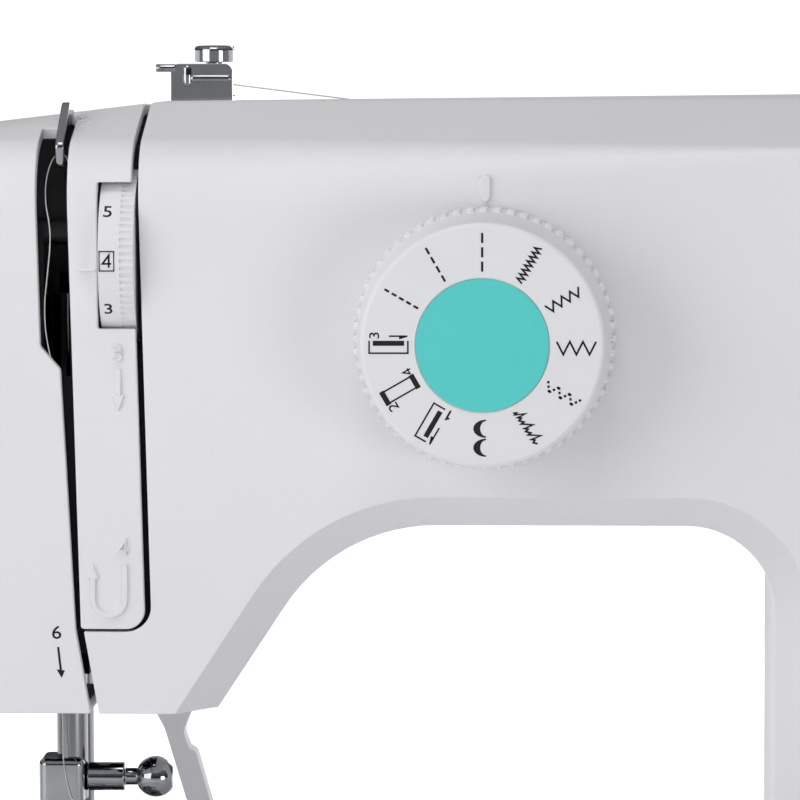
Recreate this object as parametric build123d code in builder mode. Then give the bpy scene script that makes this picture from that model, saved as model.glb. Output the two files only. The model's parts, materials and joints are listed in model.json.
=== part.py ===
"""Domestic zigzag sewing machine with a moulded housing, a free arm and a drop-in bobbin.

Frame: +X to the operator's right, +Y away from the operator, +Z up, in millimetres.
Origin: middle of the footprint, on the table.
"""
import os
from math import atan, cos, degrees, hypot, radians, sin, tan

from build123d import *

# Clearances
seam = 0.2            # joint line between two moulded shells
run = 0.3             # air between parts that move past each other
bush_gap = 0.05       # radial clearance of a shaft or pin in its bush
past = 9.0            # how far a cutting shape reaches past what it cuts

# Main sizes
bed_z = 94.0          # bed, needle plate and tray top
throat_height = 106.0     # bed to the underside of the arm
arm_height = 96.0     # underside of the arm to its ridge
head_gap = 64.5       # bed to the bottom of the head
needle_x = -118.0
needle_y = 22.0
head_reach = 54.0     # needle to the left end of the head
column_right = 155.0
throat_x = 44.0       # left side of the column
front_y = -19.0
arm_depth = 84.0
wall = 2.6

# Roof and corners of the arm housing
crown_drop = 1.5      # how much lower the ridge is over the head
ridge_setback = 39.0  # ridge behind the front face
roof_angle = 16.0     # slope of the roof in front of the ridge, degrees
rear_drop = 10.0      # fall of the roof from the ridge to the rear
rear_round = 24.0
ridge_round = 12.0
brow_round_head = 17.0    # rounding from front face to roof over the head
brow_round_column = 1.2   # the same rounding over the column, nearly an edge
brow_head_end = -80.0     # where the rounding starts to tighten
brow_column_start = 60.0  # where it has become an edge
shoulder_drop = 12.2  # top left corner of the outline below the ridge, before rounding
shoulder_round = 26.0
slope_round = 250.0
plan_round = 16.0     # upright corners of the housing
column_top_round = 18.0

# Throat under the arm
throat_round = 20.0
chin_offset = 36.7    # needle to the corner of head side and head bottom
chin_run = 27.3       # slope of the head side, along X
chin_round = 41.0
bevel_width = 7.5     # bevel round the throat, seen from the front
bevel_depth = 10.0

# Threading panel between the two slits
panel_width = 14.4
panel_offset = 14.0   # needle to the middle of the panel's foot
panel_foot_rise = 19.1
panel_lean = 1.37     # degrees off upright
panel_round = 4.2
right_slit = 1.5
foot_slit = 0.6
left_slit_foot = 1.2
left_slit_top = 2.7
left_slit_length = 58.4   # narrow part of the left slit
slot_step_rise = 5.0
slot_width = 7.0      # wide part, for the take-up lever
slot_depth = 19.0     # how far the wide part runs back over the brow
channel_depth = 33.5  # how far its narrow end runs back beside the lever
lever_gap = 0.5       # air between that narrow end and the lever
chin_edge_offset = 8.8
chin_slit = 1.9

# Base, free arm and tray
foot_height = 6.0
foot_radius = 8.0
base_step = 8.0       # base past the head at the left end
base_lip = 61.0       # base in front of the arm's front face
base_heel = 7.0       # base behind the arm's rear face
base_top_z = 24.0
base_wall = 3.0
base_round = 18.0
plate_thickness = 2.5
free_arm_height = 54.0
free_arm_step = 4.0   # free arm past the head at the left end
free_arm_inset = 3.0  # free arm inside the arm's front and rear faces
free_arm_round = 14.0
tray_wrap = 10.0      # tray past the free arm at the left end
tray_wall = 2.6
tray_gap = 0.4        # air between the tray and the free arm
lid_length = 160.0
lid_height = 52.0
lid_pin_radius = 1.2

# Drive
shaft_drop = 46.0     # main shaft under the ridge
shaft_radius = 5.5
bush_wall = 2.5
bush_length = 10.0
crank_throw = 14.5
crank_radius = 18.0
crank_thickness = 2.6
crank_web = 16.0      # width of the crank above its counterweight
crank_pin_radius = 3.0
link_thickness = 2.4
link_length = 58.5
link_width = 9.0
link_eye_radius = 2.5
pulley_radius = 13.0
pulley_width = 10.0
flange_height = 2.5
flange_width = 1.5
belt_thickness = 1.5
drive_pulley_radius = 27.0
motor_pulley_radius = 7.0
motor_radius = 25.0
motor_length = 50.0
motor_rise = 18.0     # motor axis over the bed
motor_shaft_radius = 3.0
lower_drop = 33.5     # lower shaft under the bed
lower_shaft_radius = 5.0
lower_bush_length = 6.0
lower_gear_radius = 17.0
hook_gear_radius = 9.0
hook_gear_height = 13.0
hook_shaft_radius = 4.0
gear_gap = 0.4
gear_width = 8.0
handwheel_reach = 31.0    # handwheel past the column
handwheel_width = 26.0
handwheel_radius = 34.0
handwheel_hub_radius = 12.0
handwheel_grips = 24

# Hook and bobbin
hook_setback = 15.5   # needle behind the hook axis
hook_radius = 14.2
hook_height = 14.0
hook_wall = 1.3
basket_radius = 12.4
basket_wall = 1.4
basket_floor = 1.2
bobbin_radius = 10.15
bobbin_core_radius = 8.55
bobbin_bore_radius = 3.1
bobbin_height = 11.5
bobbin_flange = 1.2

# Needle bar, presser bar and take-up lever
bar_radius = 3.6
bar_travel = 29.0
clamp_rise = 43.0     # needle clamp over the bed
clamp_height = 10.0
knob_radius = 4.8
knob_length = 8.3
needle_rise = 11.5    # needle point over the bed
frame_depth = 12.0    # needle bar frame, front to rear
swing_pin_radius = 2.5
presser_setback = 13.0
sole_width = 19.0
sole_thickness = 1.8
foot_pin_radius = 1.2
foot_pin_rise = 6.5   # foot pin over the bed
foot_lift = 5.0
lifter_pin_radius = 3.0
lifter_swing = 80     # degrees
lifter_thickness = 6.7
cam_gap = 0.8         # cam under the lug with the foot down
lug_depth = 4.0
take_up_rise = 14.0   # take-up pivot over the main shaft
take_up_boss_radius = 6.0
take_up_stud_radius = 3.0
take_up_thickness = 1.9
take_up_eye_radius = 1.2
take_up_nose = (30.6, 19.2)   # thread eye in front of and over the pivot

# Pattern dial
dial_offset = 97.2    # needle to the dial axis
dial_radius = 28.6
dial_face_radius = 26.6
dial_height = 23.0
dial_disc_radius = 14.4
dial_disc_thickness = 0.65
disc_sink = 0.4       # recess of the disc in the dial face
dial_teeth = 60
dial_tab_height = 6.5
dial_shaft_radius = 4.0
pointer_length = 6.0
pointer_width = 2.2
pointer_height = 0.8
cam_radius_small = 14.0
cam_radius_large = 16.5
cam_depth = 20.0
cam_tracks = 4

# Thread tension
tension_radius = 19.3
tension_width = 7.8
tension_smooth = 4.3  # plain part with the digits, left of the knurl
tension_knurls = 76
knurl_radius = 0.5
tension_setback = 14.7    # dial axis behind the front face
tension_drop = 35.7       # dial axis under the ridge
tension_stud_radius = 3.0
tension_disc_radius = 9.0
window_below = 15.4   # window edges under and over the dial axis
window_above = 17.1

# Reverse lever, power inlet and switch
lever_width = 28.0
lever_length = 24.0
lever_height = 14.0
lever_pin_radius = 3.0
inlet_width = 28.0
inlet_height = 22.0
switch_width = 14.0
switch_height = 16.4

# Top of the arm
spool_pin_radius = 2.6
spool_pin_height = 52.0
spool_height = 38.0
spool_radius = 12.5
spool_seat_radius = 8.0
spool_seat_depth = 14.0
spool_root_radius = 2.0   # thinner end of the pin, pressed into its seat
thread_radius = 0.2
winder_radius = 3.0
winder_arm = 22.0
winder_pin_radius = 2.0
winder_sheet = 3.0
winder_flange_radius = 8.0
guide_width = 14.2
guide_depth = 12.0
guide_height = 8.8
guide_sheet = 1.2
clip_radius = 1.6
nut_radius = 4.6

# Carry handle, lamp, thread cutter, cooling slots and screws
handle_x = 0.0
handle_span = 120.0
handle_drop = 40.0
handle_bar = 16.0
handle_strap = 12.0
handle_half = 7.0     # half the thickness of handle and lugs
handle_pin_radius = 3.0
lamp_length = 14.0
lamp_width = 24.0
cutter_height = 18.0
cutter_width = 14.0
vent_slots = 7
vent_pitch = 7.0
vent_height = 3.0
screw_radius = 3.2
screw_slot = 1.0

# Needle plate, bobbin cover and feed
plate_left_offset = 30.0
plate_length = 60.0
plate_depth = 44.0
plate_sheet = 2.3
cover_left_offset = 22.0
cover_length = 44.0
cover_depth = 20.0
feed_row = 7.5
feed_bar_drop = 15.0
feed_pin_radius = 1.5
feed_height = 0.9
feed_teeth = 10

# Planes of the housing, the bed and the base
under_z = bed_z + throat_height
crown_z = under_z + arm_height
head_bottom_z = bed_z + head_gap
shoulder_z = crown_z - shoulder_drop
head_left = needle_x - head_reach
rear_y = front_y + arm_depth
ridge_y = front_y + ridge_setback
split_y = ridge_y + 6.0
far = crown_z + 35.0      # above the roof
base_left = head_left - base_step
base_front = front_y - base_lip
base_rear = rear_y + base_heel
arm_end_x = head_left - free_arm_step
arm_front_y = front_y + free_arm_inset
arm_rear_y = rear_y - free_arm_inset
arm_floor_z = bed_z - free_arm_height
tray_left = arm_end_x - tray_wrap
tray_right = throat_x - run
lid_left = tray_left + 36.0
lid_right = lid_left + lid_length
lid_high_z = bed_z - 8.0
lid_low_z = lid_high_z - lid_height
lid_axis_y = base_front + tray_wall / 2
lid_axis_z = lid_low_z + tray_wall / 2

# Places in the head
chin_x = needle_x + chin_offset
chin_top_x = chin_x + chin_run
chin_edge_x = needle_x + chin_edge_offset
panel_foot_x = needle_x + panel_offset
panel_foot_z = head_bottom_z + panel_foot_rise
slot_step_z = panel_foot_z + left_slit_length
slot_top_z = slot_step_z + slot_step_rise
channel_y = front_y + wall + 0.5
channel_top_z = crown_z - 28.0
tension_left = panel_foot_x - 2.2
tension_right = tension_left + tension_width
tension_y = front_y + tension_setback
tension_z = crown_z - tension_drop
window_low_z = tension_z - window_below
window_high_z = tension_z + window_above
shaft_z = crown_z - shaft_drop
crank_x = tension_left - 3.0
driver_z = shaft_z + crank_throw - link_length
clamp_z = bed_z + clamp_rise
bar_foot_z = clamp_z - clamp_height / 2
frame_bushes = [(head_bottom_z + 3.5, head_bottom_z + 11.5), (driver_z + 6.0, driver_z + 13.0)]
bar_top_z = frame_bushes[1][1] + bar_travel + 2.0
needle_tip_z = bed_z + needle_rise
wing_x = needle_x - 19.0  # chassis wing beside the needle bar
swing_x = needle_x - 9.0  # pin that the needle bar frame swings on
swing_z = shaft_z - 4.0
take_up_x = needle_x + 1.1
take_up_z = shaft_z + take_up_rise
presser_y = needle_y + presser_setback
presser_shelves = [head_bottom_z + 7.5, shaft_z - 12.0]
shelf_height = 7.0
lifter_x = panel_foot_x
lifter_z = head_bottom_z + 9.5
lug_y = presser_y + 7.5
lug_z = lifter_z + 12.5
foot_joint_y = presser_y - 2.0
foot_joint_z = bed_z + foot_pin_rise
sole_front_y = needle_y - 14.0
sole_rear_y = foot_joint_y + 1.5
lamp_x = head_left + 22.0
lamp_y = needle_y - 2.0
cutter_y = needle_y - 8.0
cutter_z = head_bottom_z + 31.5

# Places in the arm, the column and the bed
chassis_y = rear_y - wall - 6.4
chassis_thick = 5.0
chassis_top_z = crown_z - 32.0
chassis_arm_z = under_z + 16.0
chassis_left = throat_x + 6.0
dial_x = needle_x + dial_offset
dial_z = (under_z + crown_z) / 2 - 4.6
dial_back_y = front_y - run
dial_face_y = dial_back_y - dial_height
cam_front_y = front_y + 9.0
timing_x = throat_x + 15.0    # middle of the toothed belt
drive_belt_x = column_right - 15.0
main_bearings = [needle_x + 31.0, column_right - 37.0]
motor_right = column_right - 29.0
motor_left = motor_right - motor_length
motor_x = (motor_left + motor_right) / 2
motor_z = bed_z + motor_rise
handwheel_right = column_right + handwheel_reach
handwheel_left = handwheel_right - handwheel_width
lever_x = column_right - 55.0
lever_y = front_y + 11.0
lever_z = bed_z + 34.0
hook_y = needle_y - hook_setback
hook_top_z = bed_z - 4.5
hook_floor_z = hook_top_z - hook_height
lower_y = hook_y + lower_gear_radius + hook_gear_radius + gear_gap
lower_z = bed_z - lower_drop
lower_bearings = [needle_x + 31.0, throat_x - 27.0]
plate_left = needle_x - plate_left_offset
plate_right = plate_left + plate_length
plate_front = needle_y - 14.0
plate_rear = plate_front + plate_depth
plate_low_z = bed_z - plate_sheet
plate_screw_x = [plate_left + 7.0, plate_right - 7.0]
plate_screw_y = plate_rear - 6.0
cover_left = needle_x - cover_left_offset
cover_right = cover_left + cover_length
cover_front = plate_front - cover_depth
feed_left = needle_x - 10.0
feed_front = needle_y + 3.0
feed_rear = needle_y + 21.0
feed_y = (feed_front + feed_rear) / 2
feed_bar_z = bed_z - feed_bar_drop
inlet_y = front_y + 29.0
inlet_z = base_top_z + 23.0
switch_y = inlet_y + 36.0

# Places on the roof and the rear
spool_x = column_right - 63.0
spare_spool_x = column_right - 27.0
spool_y = ridge_y + 22.0
spool_seat_z = crown_z - 2.0
winder_x = column_right - 37.0
winder_y = front_y + 23.0
winder_shelf_z = crown_z - 18.0
winder_stop_x = winder_x + 20.0
winder_stop_z = crown_z + 10.0
guide_left = needle_x + 23.6
guide_right = guide_left + guide_width
guide_y = ridge_y + 13.0
guide_base_z = crown_z - 2.4
guide_top_z = guide_base_z + guide_height
clip_x = needle_x + 88.0
clip_y = ridge_y + 24.0
clip_z = crown_z - 6.4
handle_y = rear_y + handle_half + 1.0
handle_z = crown_z - 28.0
cover_screw_places = [
    (column_right - 15.0, crown_z - 31.0), (column_right - 15.0, bed_z + 10.0),
    (throat_x + 18.0, bed_z + 10.0), (throat_x - 14.0, under_z + 10.0),
    (needle_x + 30.0, head_bottom_z + 23.5)]

os.makedirs("parts", exist_ok=True)


def rod_x(x0, x1, y, z, r, mode=Mode.ADD):
    """Round bar along X."""
    with Locations(Location(((x0 + x1) / 2, y, z), (0, 90, 0))):
        Cylinder(r, x1 - x0, mode=mode)


def rod_y(y0, y1, x, z, r, mode=Mode.ADD):
    """Round bar along Y."""
    with Locations(Location((x, (y0 + y1) / 2, z), (90, 0, 0))):
        Cylinder(r, y1 - y0, mode=mode)


def rod_z(z0, z1, x, y, r, mode=Mode.ADD):
    """Round bar along Z."""
    with Locations((x, y, (z0 + z1) / 2)):
        Cylinder(r, z1 - z0, mode=mode)


def block(x0, x1, y0, y1, z0, z1, mode=Mode.ADD):
    """Rectangular block between two corners."""
    with Locations(((x0 + x1) / 2, (y0 + y1) / 2, (z0 + z1) / 2)):
        Box(x1 - x0, y1 - y0, z1 - z0, mode=mode)


def panel_x(side, z):
    """Edge of the leaning threading panel at height z: side -1 is left, +1 is right."""
    return panel_foot_x + side * panel_width / 2 - (z - panel_foot_z) * tan(radians(panel_lean))


def head_side_x(z, inset):
    """Sloping right side of the head at height z, moved into the head by inset."""
    run_per_rise = (chin_top_x - chin_x) / (under_z - head_bottom_z)
    return chin_x + (z - head_bottom_z) * run_per_rise - inset * hypot(1, run_per_rise)


def roof_z(y):
    """Height of the roof over the column at depth y."""
    if y < ridge_y:
        return crown_z - (ridge_y - y) * tan(radians(roof_angle))
    return crown_z - (y - ridge_y) * rear_drop / (rear_y - ridge_y)


def cam_radius(angle):
    """Lifter cam: grows evenly with the angle from the top, so the presser bar rises evenly."""
    return lug_z - lifter_z - cam_gap + foot_lift * max(angle, 0) / lifter_swing


# Arm housing: front outline, side profile and plan, intersected
def front_outline(inset, throat_inset):
    """Head, arm and column seen from the front, drawn in by inset and round the throat by throat_inset."""
    left, right = head_left + inset, column_right - inset
    low, under = head_bottom_z + inset, under_z + throat_inset
    with BuildSketch(Plane.XZ.offset(-rear_y + inset)) as outline:
        with BuildLine():
            FilletPolyline(
                (left, low), (left, shoulder_z - inset), (brow_head_end, crown_z - inset),
                (right, crown_z - inset), (right, bed_z), (throat_x + throat_inset, bed_z),
                (throat_x + throat_inset, under), (head_side_x(under, throat_inset), under),
                (head_side_x(low, throat_inset), low),
                radius=[0, shoulder_round - inset, slope_round, column_top_round - inset, 0, 0,
                        throat_round, chin_round, 0],
                close=True,
            )
        make_face()
    return outline.sketch


def side_profile(x, drop, brow, inset):
    """Section of the arm at station x: upright front, rounded brow, roof, rounded rear."""
    front, rear, crown = front_y + inset, rear_y - inset, crown_z - drop - inset
    brow_z = crown - (ridge_y - front) * tan(radians(roof_angle))
    with BuildSketch(Plane.YZ.offset(x)) as section:
        with BuildLine():
            FilletPolyline(
                (front, bed_z - 1), (front, brow_z), (ridge_y, crown), (rear, crown - rear_drop),
                (rear, bed_z - 1),
                radius=[0, brow, ridge_round, rear_round - inset, 0],
                close=True,
            )
        make_face()
    return section.sketch


def housing_sections(inset):
    """The four stations that the roof is drawn through, from the head to the column."""
    head = (crown_drop, brow_round_head - inset / 2)
    column = (0, max(brow_round_column - inset / 2, brow_round_column / 2))
    stations = [(head_left - past, *head), (brow_head_end, *head),
                (brow_column_start, *column), (column_right + past, *column)]
    return [side_profile(x, drop, brow, inset) for x, drop, brow in stations]


def housing_plan(inset):
    """Plan of the housing with its rounded upright corners."""
    with BuildSketch(Plane.XY.offset(bed_z - 1)) as plan:
        with Locations(((head_left + column_right) / 2, (front_y + rear_y) / 2)):
            RectangleRounded(column_right - head_left - 2 * inset, arm_depth - 2 * inset,
                             plan_round - inset)
    return plan.sketch


with BuildPart() as housing:
    extrude(front_outline(0, 0), amount=arm_depth)
    throat_edges = housing.edges().filter_by(
        lambda e: abs(e.center().Y - front_y) < 0.01
        and chin_x - 1 < e.center().X < throat_x + 1
        and e.center().Z < under_z + 1
    )
    front_face = housing.faces().sort_by(Axis.Y)[0]
    chamfer(throat_edges, length=bevel_width, length2=bevel_depth, reference=front_face)
    loft(housing_sections(0), ruled=True, mode=Mode.INTERSECT)
    extrude(housing_plan(0), amount=crown_z, mode=Mode.INTERSECT)

with BuildPart() as cavity:
    extrude(front_outline(wall, bevel_width + wall), amount=arm_depth - 2 * wall)
    extrude(front_outline(wall, wall), amount=arm_depth - bevel_depth - 2 * wall)
    loft(housing_sections(wall), ruled=True, mode=Mode.INTERSECT)
    extrude(housing_plan(wall), amount=crown_z, mode=Mode.INTERSECT)

with BuildPart() as shell:
    add(housing.part)
    add(cavity.part, mode=Mode.SUBTRACT)
    # opening in the head bottom for the two bars
    block(needle_x - 16, needle_x + 20, needle_y - 14, presser_y + 11,
          head_bottom_z - 1, head_bottom_z + wall + 1, mode=Mode.SUBTRACT)
    # hole for the main shaft in the right side
    rod_x(column_right - wall - 1, column_right + 1, needle_y, shaft_z, shaft_radius + 1, mode=Mode.SUBTRACT)


def seen_from_front(points, rounds, y0, y1):
    """Prism over a closed outline in the XZ plane, from depth y0 to y1."""
    with BuildSketch(Plane.XZ.offset(-y1)) as region:
        with BuildLine():
            FilletPolyline(*points, radius=rounds, close=True)
        make_face()
    return region.sketch, y1 - y0


face_foot_x = panel_x(-1, panel_foot_z) - left_slit_foot
face_step_x = panel_x(-1, slot_step_z) - left_slit_top

with BuildPart() as face_cover:
    add(shell.part)
    region, depth = seen_from_front(
        [(head_left - past, bed_z), (chin_edge_x, bed_z), (chin_edge_x, head_bottom_z),
         (face_foot_x, panel_foot_z), (face_step_x, slot_step_z),
         (panel_x(-1, slot_step_z) - seam, slot_step_z), (panel_x(-1, far) - seam, far),
         (head_left - past, far)],
        [0] * 8, front_y - past, rear_y + past)
    extrude(region, amount=depth, mode=Mode.INTERSECT)
    # wide slot in the brow for the take-up lever, with a narrow end behind it
    region, depth = seen_from_front(
        [(face_step_x, slot_step_z - 0.1), (panel_x(-1, slot_top_z) - slot_width, slot_top_z),
         (panel_x(-1, far) - slot_width, far), (panel_x(-1, far) + 1, far),
         (panel_x(-1, slot_step_z) + 1, slot_step_z - 0.1)],
        [0, 1.5, 0, 0, 0], front_y - past, front_y + slot_depth)
    extrude(region, amount=depth, mode=Mode.SUBTRACT)
    block(take_up_x - lever_gap, panel_x(-1, far) + slot_width, front_y, front_y + channel_depth,
          slot_top_z, far, mode=Mode.SUBTRACT)
    # window for the lamp lens in the head bottom
    block(lamp_x - lamp_length / 2, lamp_x + lamp_length / 2, lamp_y - lamp_width / 2,
          lamp_y + lamp_width / 2, head_bottom_z - 1, head_bottom_z + wall + 1, mode=Mode.SUBTRACT)

with BuildPart() as tension_panel:
    add(shell.part)
    region, depth = seen_from_front(
        [(panel_x(-1, panel_foot_z), panel_foot_z), (panel_x(1, panel_foot_z), panel_foot_z),
         (panel_x(1, far), far), (panel_x(-1, far), far)],
        [0.8, panel_round, 0, 0], front_y - past, split_y)
    extrude(region, amount=depth, mode=Mode.INTERSECT)
    block(tension_left - 0.6, panel_x(1, panel_foot_z) + 1, front_y - past, front_y + 12,
          window_low_z, window_high_z, mode=Mode.SUBTRACT)

with BuildPart() as front_cover:
    add(shell.part)
    region, depth = seen_from_front(
        [(chin_edge_x + chin_slit, bed_z), (chin_edge_x + chin_slit, head_bottom_z),
         (face_foot_x + chin_slit, panel_foot_z - foot_slit),
         (panel_x(1, panel_foot_z) + right_slit, panel_foot_z - foot_slit),
         (panel_x(1, far) + right_slit, far), (column_right + past, far), (column_right + past, bed_z)],
        [0, 0, 0, panel_round + right_slit, 0, 0, 0], front_y - past, split_y)
    extrude(region, amount=depth, mode=Mode.INTERSECT)
    # pattern dial bearing and the pointer rib over it
    rod_y(front_y + wall - 0.5, front_y + wall + 5, dial_x, dial_z, dial_shaft_radius + 3)
    rod_y(front_y - 1, front_y + wall + past, dial_x, dial_z, dial_shaft_radius + bush_gap,
          mode=Mode.SUBTRACT)
    with BuildSketch(Plane.XZ.offset(-front_y - 1)):
        with Locations((dial_x, dial_z + dial_radius + 1.2 + pointer_length / 2)):
            SlotOverall(pointer_length, pointer_width, rotation=90)
    extrude(amount=1 + pointer_height)
    # window and hinge bosses of the reverse lever
    block(lever_x - lever_width / 2 - 1.5, lever_x + lever_width / 2 + 1.5, front_y - 1, front_y + wall + 1,
          lever_z - lever_height / 2 - 12, lever_z + lever_height / 2 + 2, mode=Mode.SUBTRACT)
    for side in (-1, 1):
        boss = lever_x + side * (lever_width / 2 + 4.5)
        block(boss - 2.5, boss + 2.5, front_y + wall - 0.5, lever_y + 5, lever_z - 5, lever_z + 5)
    rod_x(lever_x - lever_width / 2 - 7.1, lever_x + lever_width / 2 + 7.1, lever_y, lever_z,
          lever_pin_radius + bush_gap, mode=Mode.SUBTRACT)
    # slot for the winder spindle, and the stop that trips it
    block(winder_x - 5, winder_x + 11, winder_y - 5.5, winder_y + 7, roof_z(winder_y) - 12, far,
          mode=Mode.SUBTRACT)
    rod_z(roof_z(winder_y) - 1.5, winder_stop_z, winder_stop_x, winder_y, 3.2)

with BuildPart() as rear_cover:
    add(shell.part)
    region, depth = seen_from_front(
        [(chin_edge_x + chin_slit, bed_z), (chin_edge_x + chin_slit, head_bottom_z),
         (face_foot_x + chin_slit, panel_foot_z), (panel_x(-1, panel_foot_z + 4), panel_foot_z + 4),
         (panel_x(-1, far), far), (column_right + past, far), (column_right + past, bed_z)],
        [0] * 7, split_y + seam, rear_y + past)
    extrude(region, amount=depth, mode=Mode.INTERSECT)
    # seats of the two spool pins
    for x in (spool_x, spare_spool_x):
        rod_z(spool_seat_z - spool_seat_depth, spool_seat_z, x, spool_y, spool_seat_radius)
        rod_z(spool_seat_z - spool_seat_depth - 1, spool_seat_z + 1, x, spool_y, spool_root_radius,
              mode=Mode.SUBTRACT)
    # thread hook behind the ridge
    rod_z(clip_z - 6, clip_z + 2.5, clip_x, clip_y, clip_radius)
    rod_z(clip_z + 2, clip_z + 3.5, clip_x, clip_y, clip_radius + 1.4)
    # seat of the thread guide
    block(guide_left + 0.5, guide_right - 0.5, guide_y - guide_depth / 2, guide_y + guide_depth / 2,
          guide_base_z - 8, guide_base_z)
    # hinge lugs of the carry handle
    for side in (-1, 1):
        lug = handle_x + side * (handle_span / 2 + 4)
        block(lug - 3.5, lug + 3.5, rear_y - 1.5, handle_y, handle_z - handle_half, handle_z + handle_half)
        rod_x(lug - 3.5, lug + 3.5, handle_y, handle_z, handle_half)
    rod_x(handle_x - handle_span / 2 - past, handle_x + handle_span / 2 + past, handle_y, handle_z,
          handle_pin_radius + bush_gap, mode=Mode.SUBTRACT)
    # bearing of the presser lifter
    rod_y(rear_y - wall - 1, rear_y + 1, lifter_x, lifter_z, lifter_pin_radius + bush_gap, mode=Mode.SUBTRACT)
    # cooling slots behind the motor and holes for the cover screws
    for i in range(vent_slots):
        low = motor_z + vent_pitch * (i - (vent_slots - 1) / 2)
        block(motor_left + 6, motor_right - 6, rear_y - wall - 1, rear_y + 1, low - vent_height / 2,
              low + vent_height / 2, mode=Mode.SUBTRACT)
    for x, z in cover_screw_places:
        rod_y(rear_y - 2, rear_y + 1, x, z, screw_radius, mode=Mode.SUBTRACT)

with BuildPart() as thread_channel:
    block(needle_x - 6, panel_x(1, panel_foot_z) + 4, channel_y, channel_y + 2, panel_foot_z - 6,
          channel_top_z)
    block(take_up_x - 2.4, take_up_x + take_up_thickness + 1.7, channel_y - 1, channel_y + 3,
          slot_step_z - 2, channel_top_z + 1, mode=Mode.SUBTRACT)
    block(tension_left - 0.8, tension_right + 0.8, channel_y - 1, channel_y + 3,
          tension_z - tension_radius - 1, channel_top_z + 1, mode=Mode.SUBTRACT)

with BuildPart() as chassis:
    rear = chassis_y + chassis_thick
    block(chassis_left, column_right - 13, chassis_y, rear, foot_height + plate_thickness, chassis_top_z)
    block(wing_x, chassis_left + 1, chassis_y, rear, chassis_arm_z, chassis_top_z)
    block(wing_x, needle_x + 20, chassis_y, rear, presser_shelves[0], chassis_top_z)
    # wing beside the needle bar, with the take-up stud and the swing pin
    block(wing_x, wing_x + 4, needle_y - 6, chassis_y + 1, swing_z - 10, take_up_z + 8)
    rod_x(wing_x + 3, take_up_x + take_up_thickness + 0.5, needle_y, take_up_z, take_up_stud_radius)
    rod_y(needle_y - frame_depth / 2 - 1, chassis_y + 1, swing_x, swing_z, swing_pin_radius)
    # two shelves that guide the presser bar
    for low in presser_shelves:
        block(needle_x - 8, needle_x + 5.5, presser_y - 5, chassis_y + 1, low, low + shelf_height)
        rod_z(low - 1, low + shelf_height + 1, needle_x, presser_y, bar_radius + bush_gap, mode=Mode.SUBTRACT)
    # room for the lifter cam beside the lower shelf
    block(lifter_x - cam_radius(0) - 1, needle_x + 6, lug_y - 1, lug_y + lug_depth + 1.5,
          presser_shelves[0] - 1, presser_shelves[0] + shelf_height + 1, mode=Mode.SUBTRACT)
    # bearing blocks of the main shaft
    for x in main_bearings:
        block(x - bush_length / 2, x + bush_length / 2, needle_y - 10, chassis_y + 1, shaft_z - 11,
              shaft_z + 11)
        rod_x(x - bush_length, x + bush_length, needle_y, shaft_z, shaft_radius + bush_wall,
              mode=Mode.SUBTRACT)
    # stud of the thread tension unit
    stud_end = main_bearings[0] - bush_length / 2
    block(stud_end, stud_end + 6, tension_y - 5, needle_y - 9, shaft_z + 4.5, tension_z + 5)
    rod_x(tension_left - seam, stud_end + 1, tension_y, tension_z, tension_stud_radius)
    # motor cradle
    block(motor_x - 13, motor_x + 13, needle_y + motor_radius - 2, chassis_y + 1, motor_z - 12, motor_z + 12)
    rod_x(motor_x - 20, motor_x + 20, needle_y, motor_z, motor_radius, mode=Mode.SUBTRACT)
    # post, shelf and pin of the bobbin winder
    block(winder_x - 6, winder_x + 6, chassis_y - 6, chassis_y, shaft_z, winder_shelf_z)
    block(winder_x - 6, winder_x + 6, winder_y + winder_arm - 8, chassis_y, winder_shelf_z - 4,
          winder_shelf_z)
    rod_z(winder_shelf_z - 1, winder_shelf_z + 4, winder_x, winder_y + winder_arm, winder_pin_radius)
    # clearance round the lifter shaft
    rod_y(chassis_y - 1, rear + 1, lifter_x, lifter_z, lifter_pin_radius + 1.5, mode=Mode.SUBTRACT)


# Base, bed and tray
def base_plan(inset, x0, z):
    """Plan of the base at height z from x0 to the right end, with rounded right corners."""
    left_round = base_round - inset if x0 < throat_x - 5 else 0
    with BuildSketch(Plane.XY.offset(z)) as plan:
        with BuildLine():
            FilletPolyline(
                (x0, base_front + inset), (column_right - inset, base_front + inset),
                (column_right - inset, base_rear - inset), (x0, base_rear - inset),
                radius=[left_round, base_round - inset, base_round - inset, left_round], close=True)
        make_face()
    return plan.sketch


with BuildPart() as base:
    extrude(base_plan(0, base_left, foot_height), amount=base_top_z - foot_height)
    extrude(base_plan(0, throat_x, base_top_z), amount=bed_z - base_top_z)
    extrude(base_plan(base_wall, base_left + base_wall, foot_height),
            amount=base_top_z - foot_height - base_wall, mode=Mode.SUBTRACT)
    extrude(base_plan(base_wall, throat_x + base_wall, foot_height),
            amount=bed_z - foot_height - base_wall, mode=Mode.SUBTRACT)
    # openings into the column and the free arm
    block(chassis_left, column_right - 5, front_y + 4, rear_y - 3.4, bed_z - base_wall - 1, bed_z + 1,
          mode=Mode.SUBTRACT)
    block(throat_x - 1, throat_x + base_wall + 1, arm_front_y + wall, arm_rear_y - wall,
          arm_floor_z + wall, bed_z - wall, mode=Mode.SUBTRACT)
    # openings of the power inlet and switch
    for y, width, height in ((inlet_y, inlet_width - 4, inlet_height - 4),
                             (switch_y, switch_width + 0.8, inlet_height - 4)):
        block(column_right - base_wall - 1, column_right + 1, y - width / 2, y + width / 2,
              inlet_z - height / 2, inlet_z + height / 2, mode=Mode.SUBTRACT)

with BuildPart() as bottom_plate:
    inset = base_wall + seam
    extrude(base_plan(inset, base_left + inset, foot_height), amount=plate_thickness)

with BuildPart() as feet:
    for x in (base_left + 24, column_right - 24):
        for y in (base_front + 22, base_rear - 22):
            rod_z(0, foot_height, x, y, foot_radius)

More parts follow.
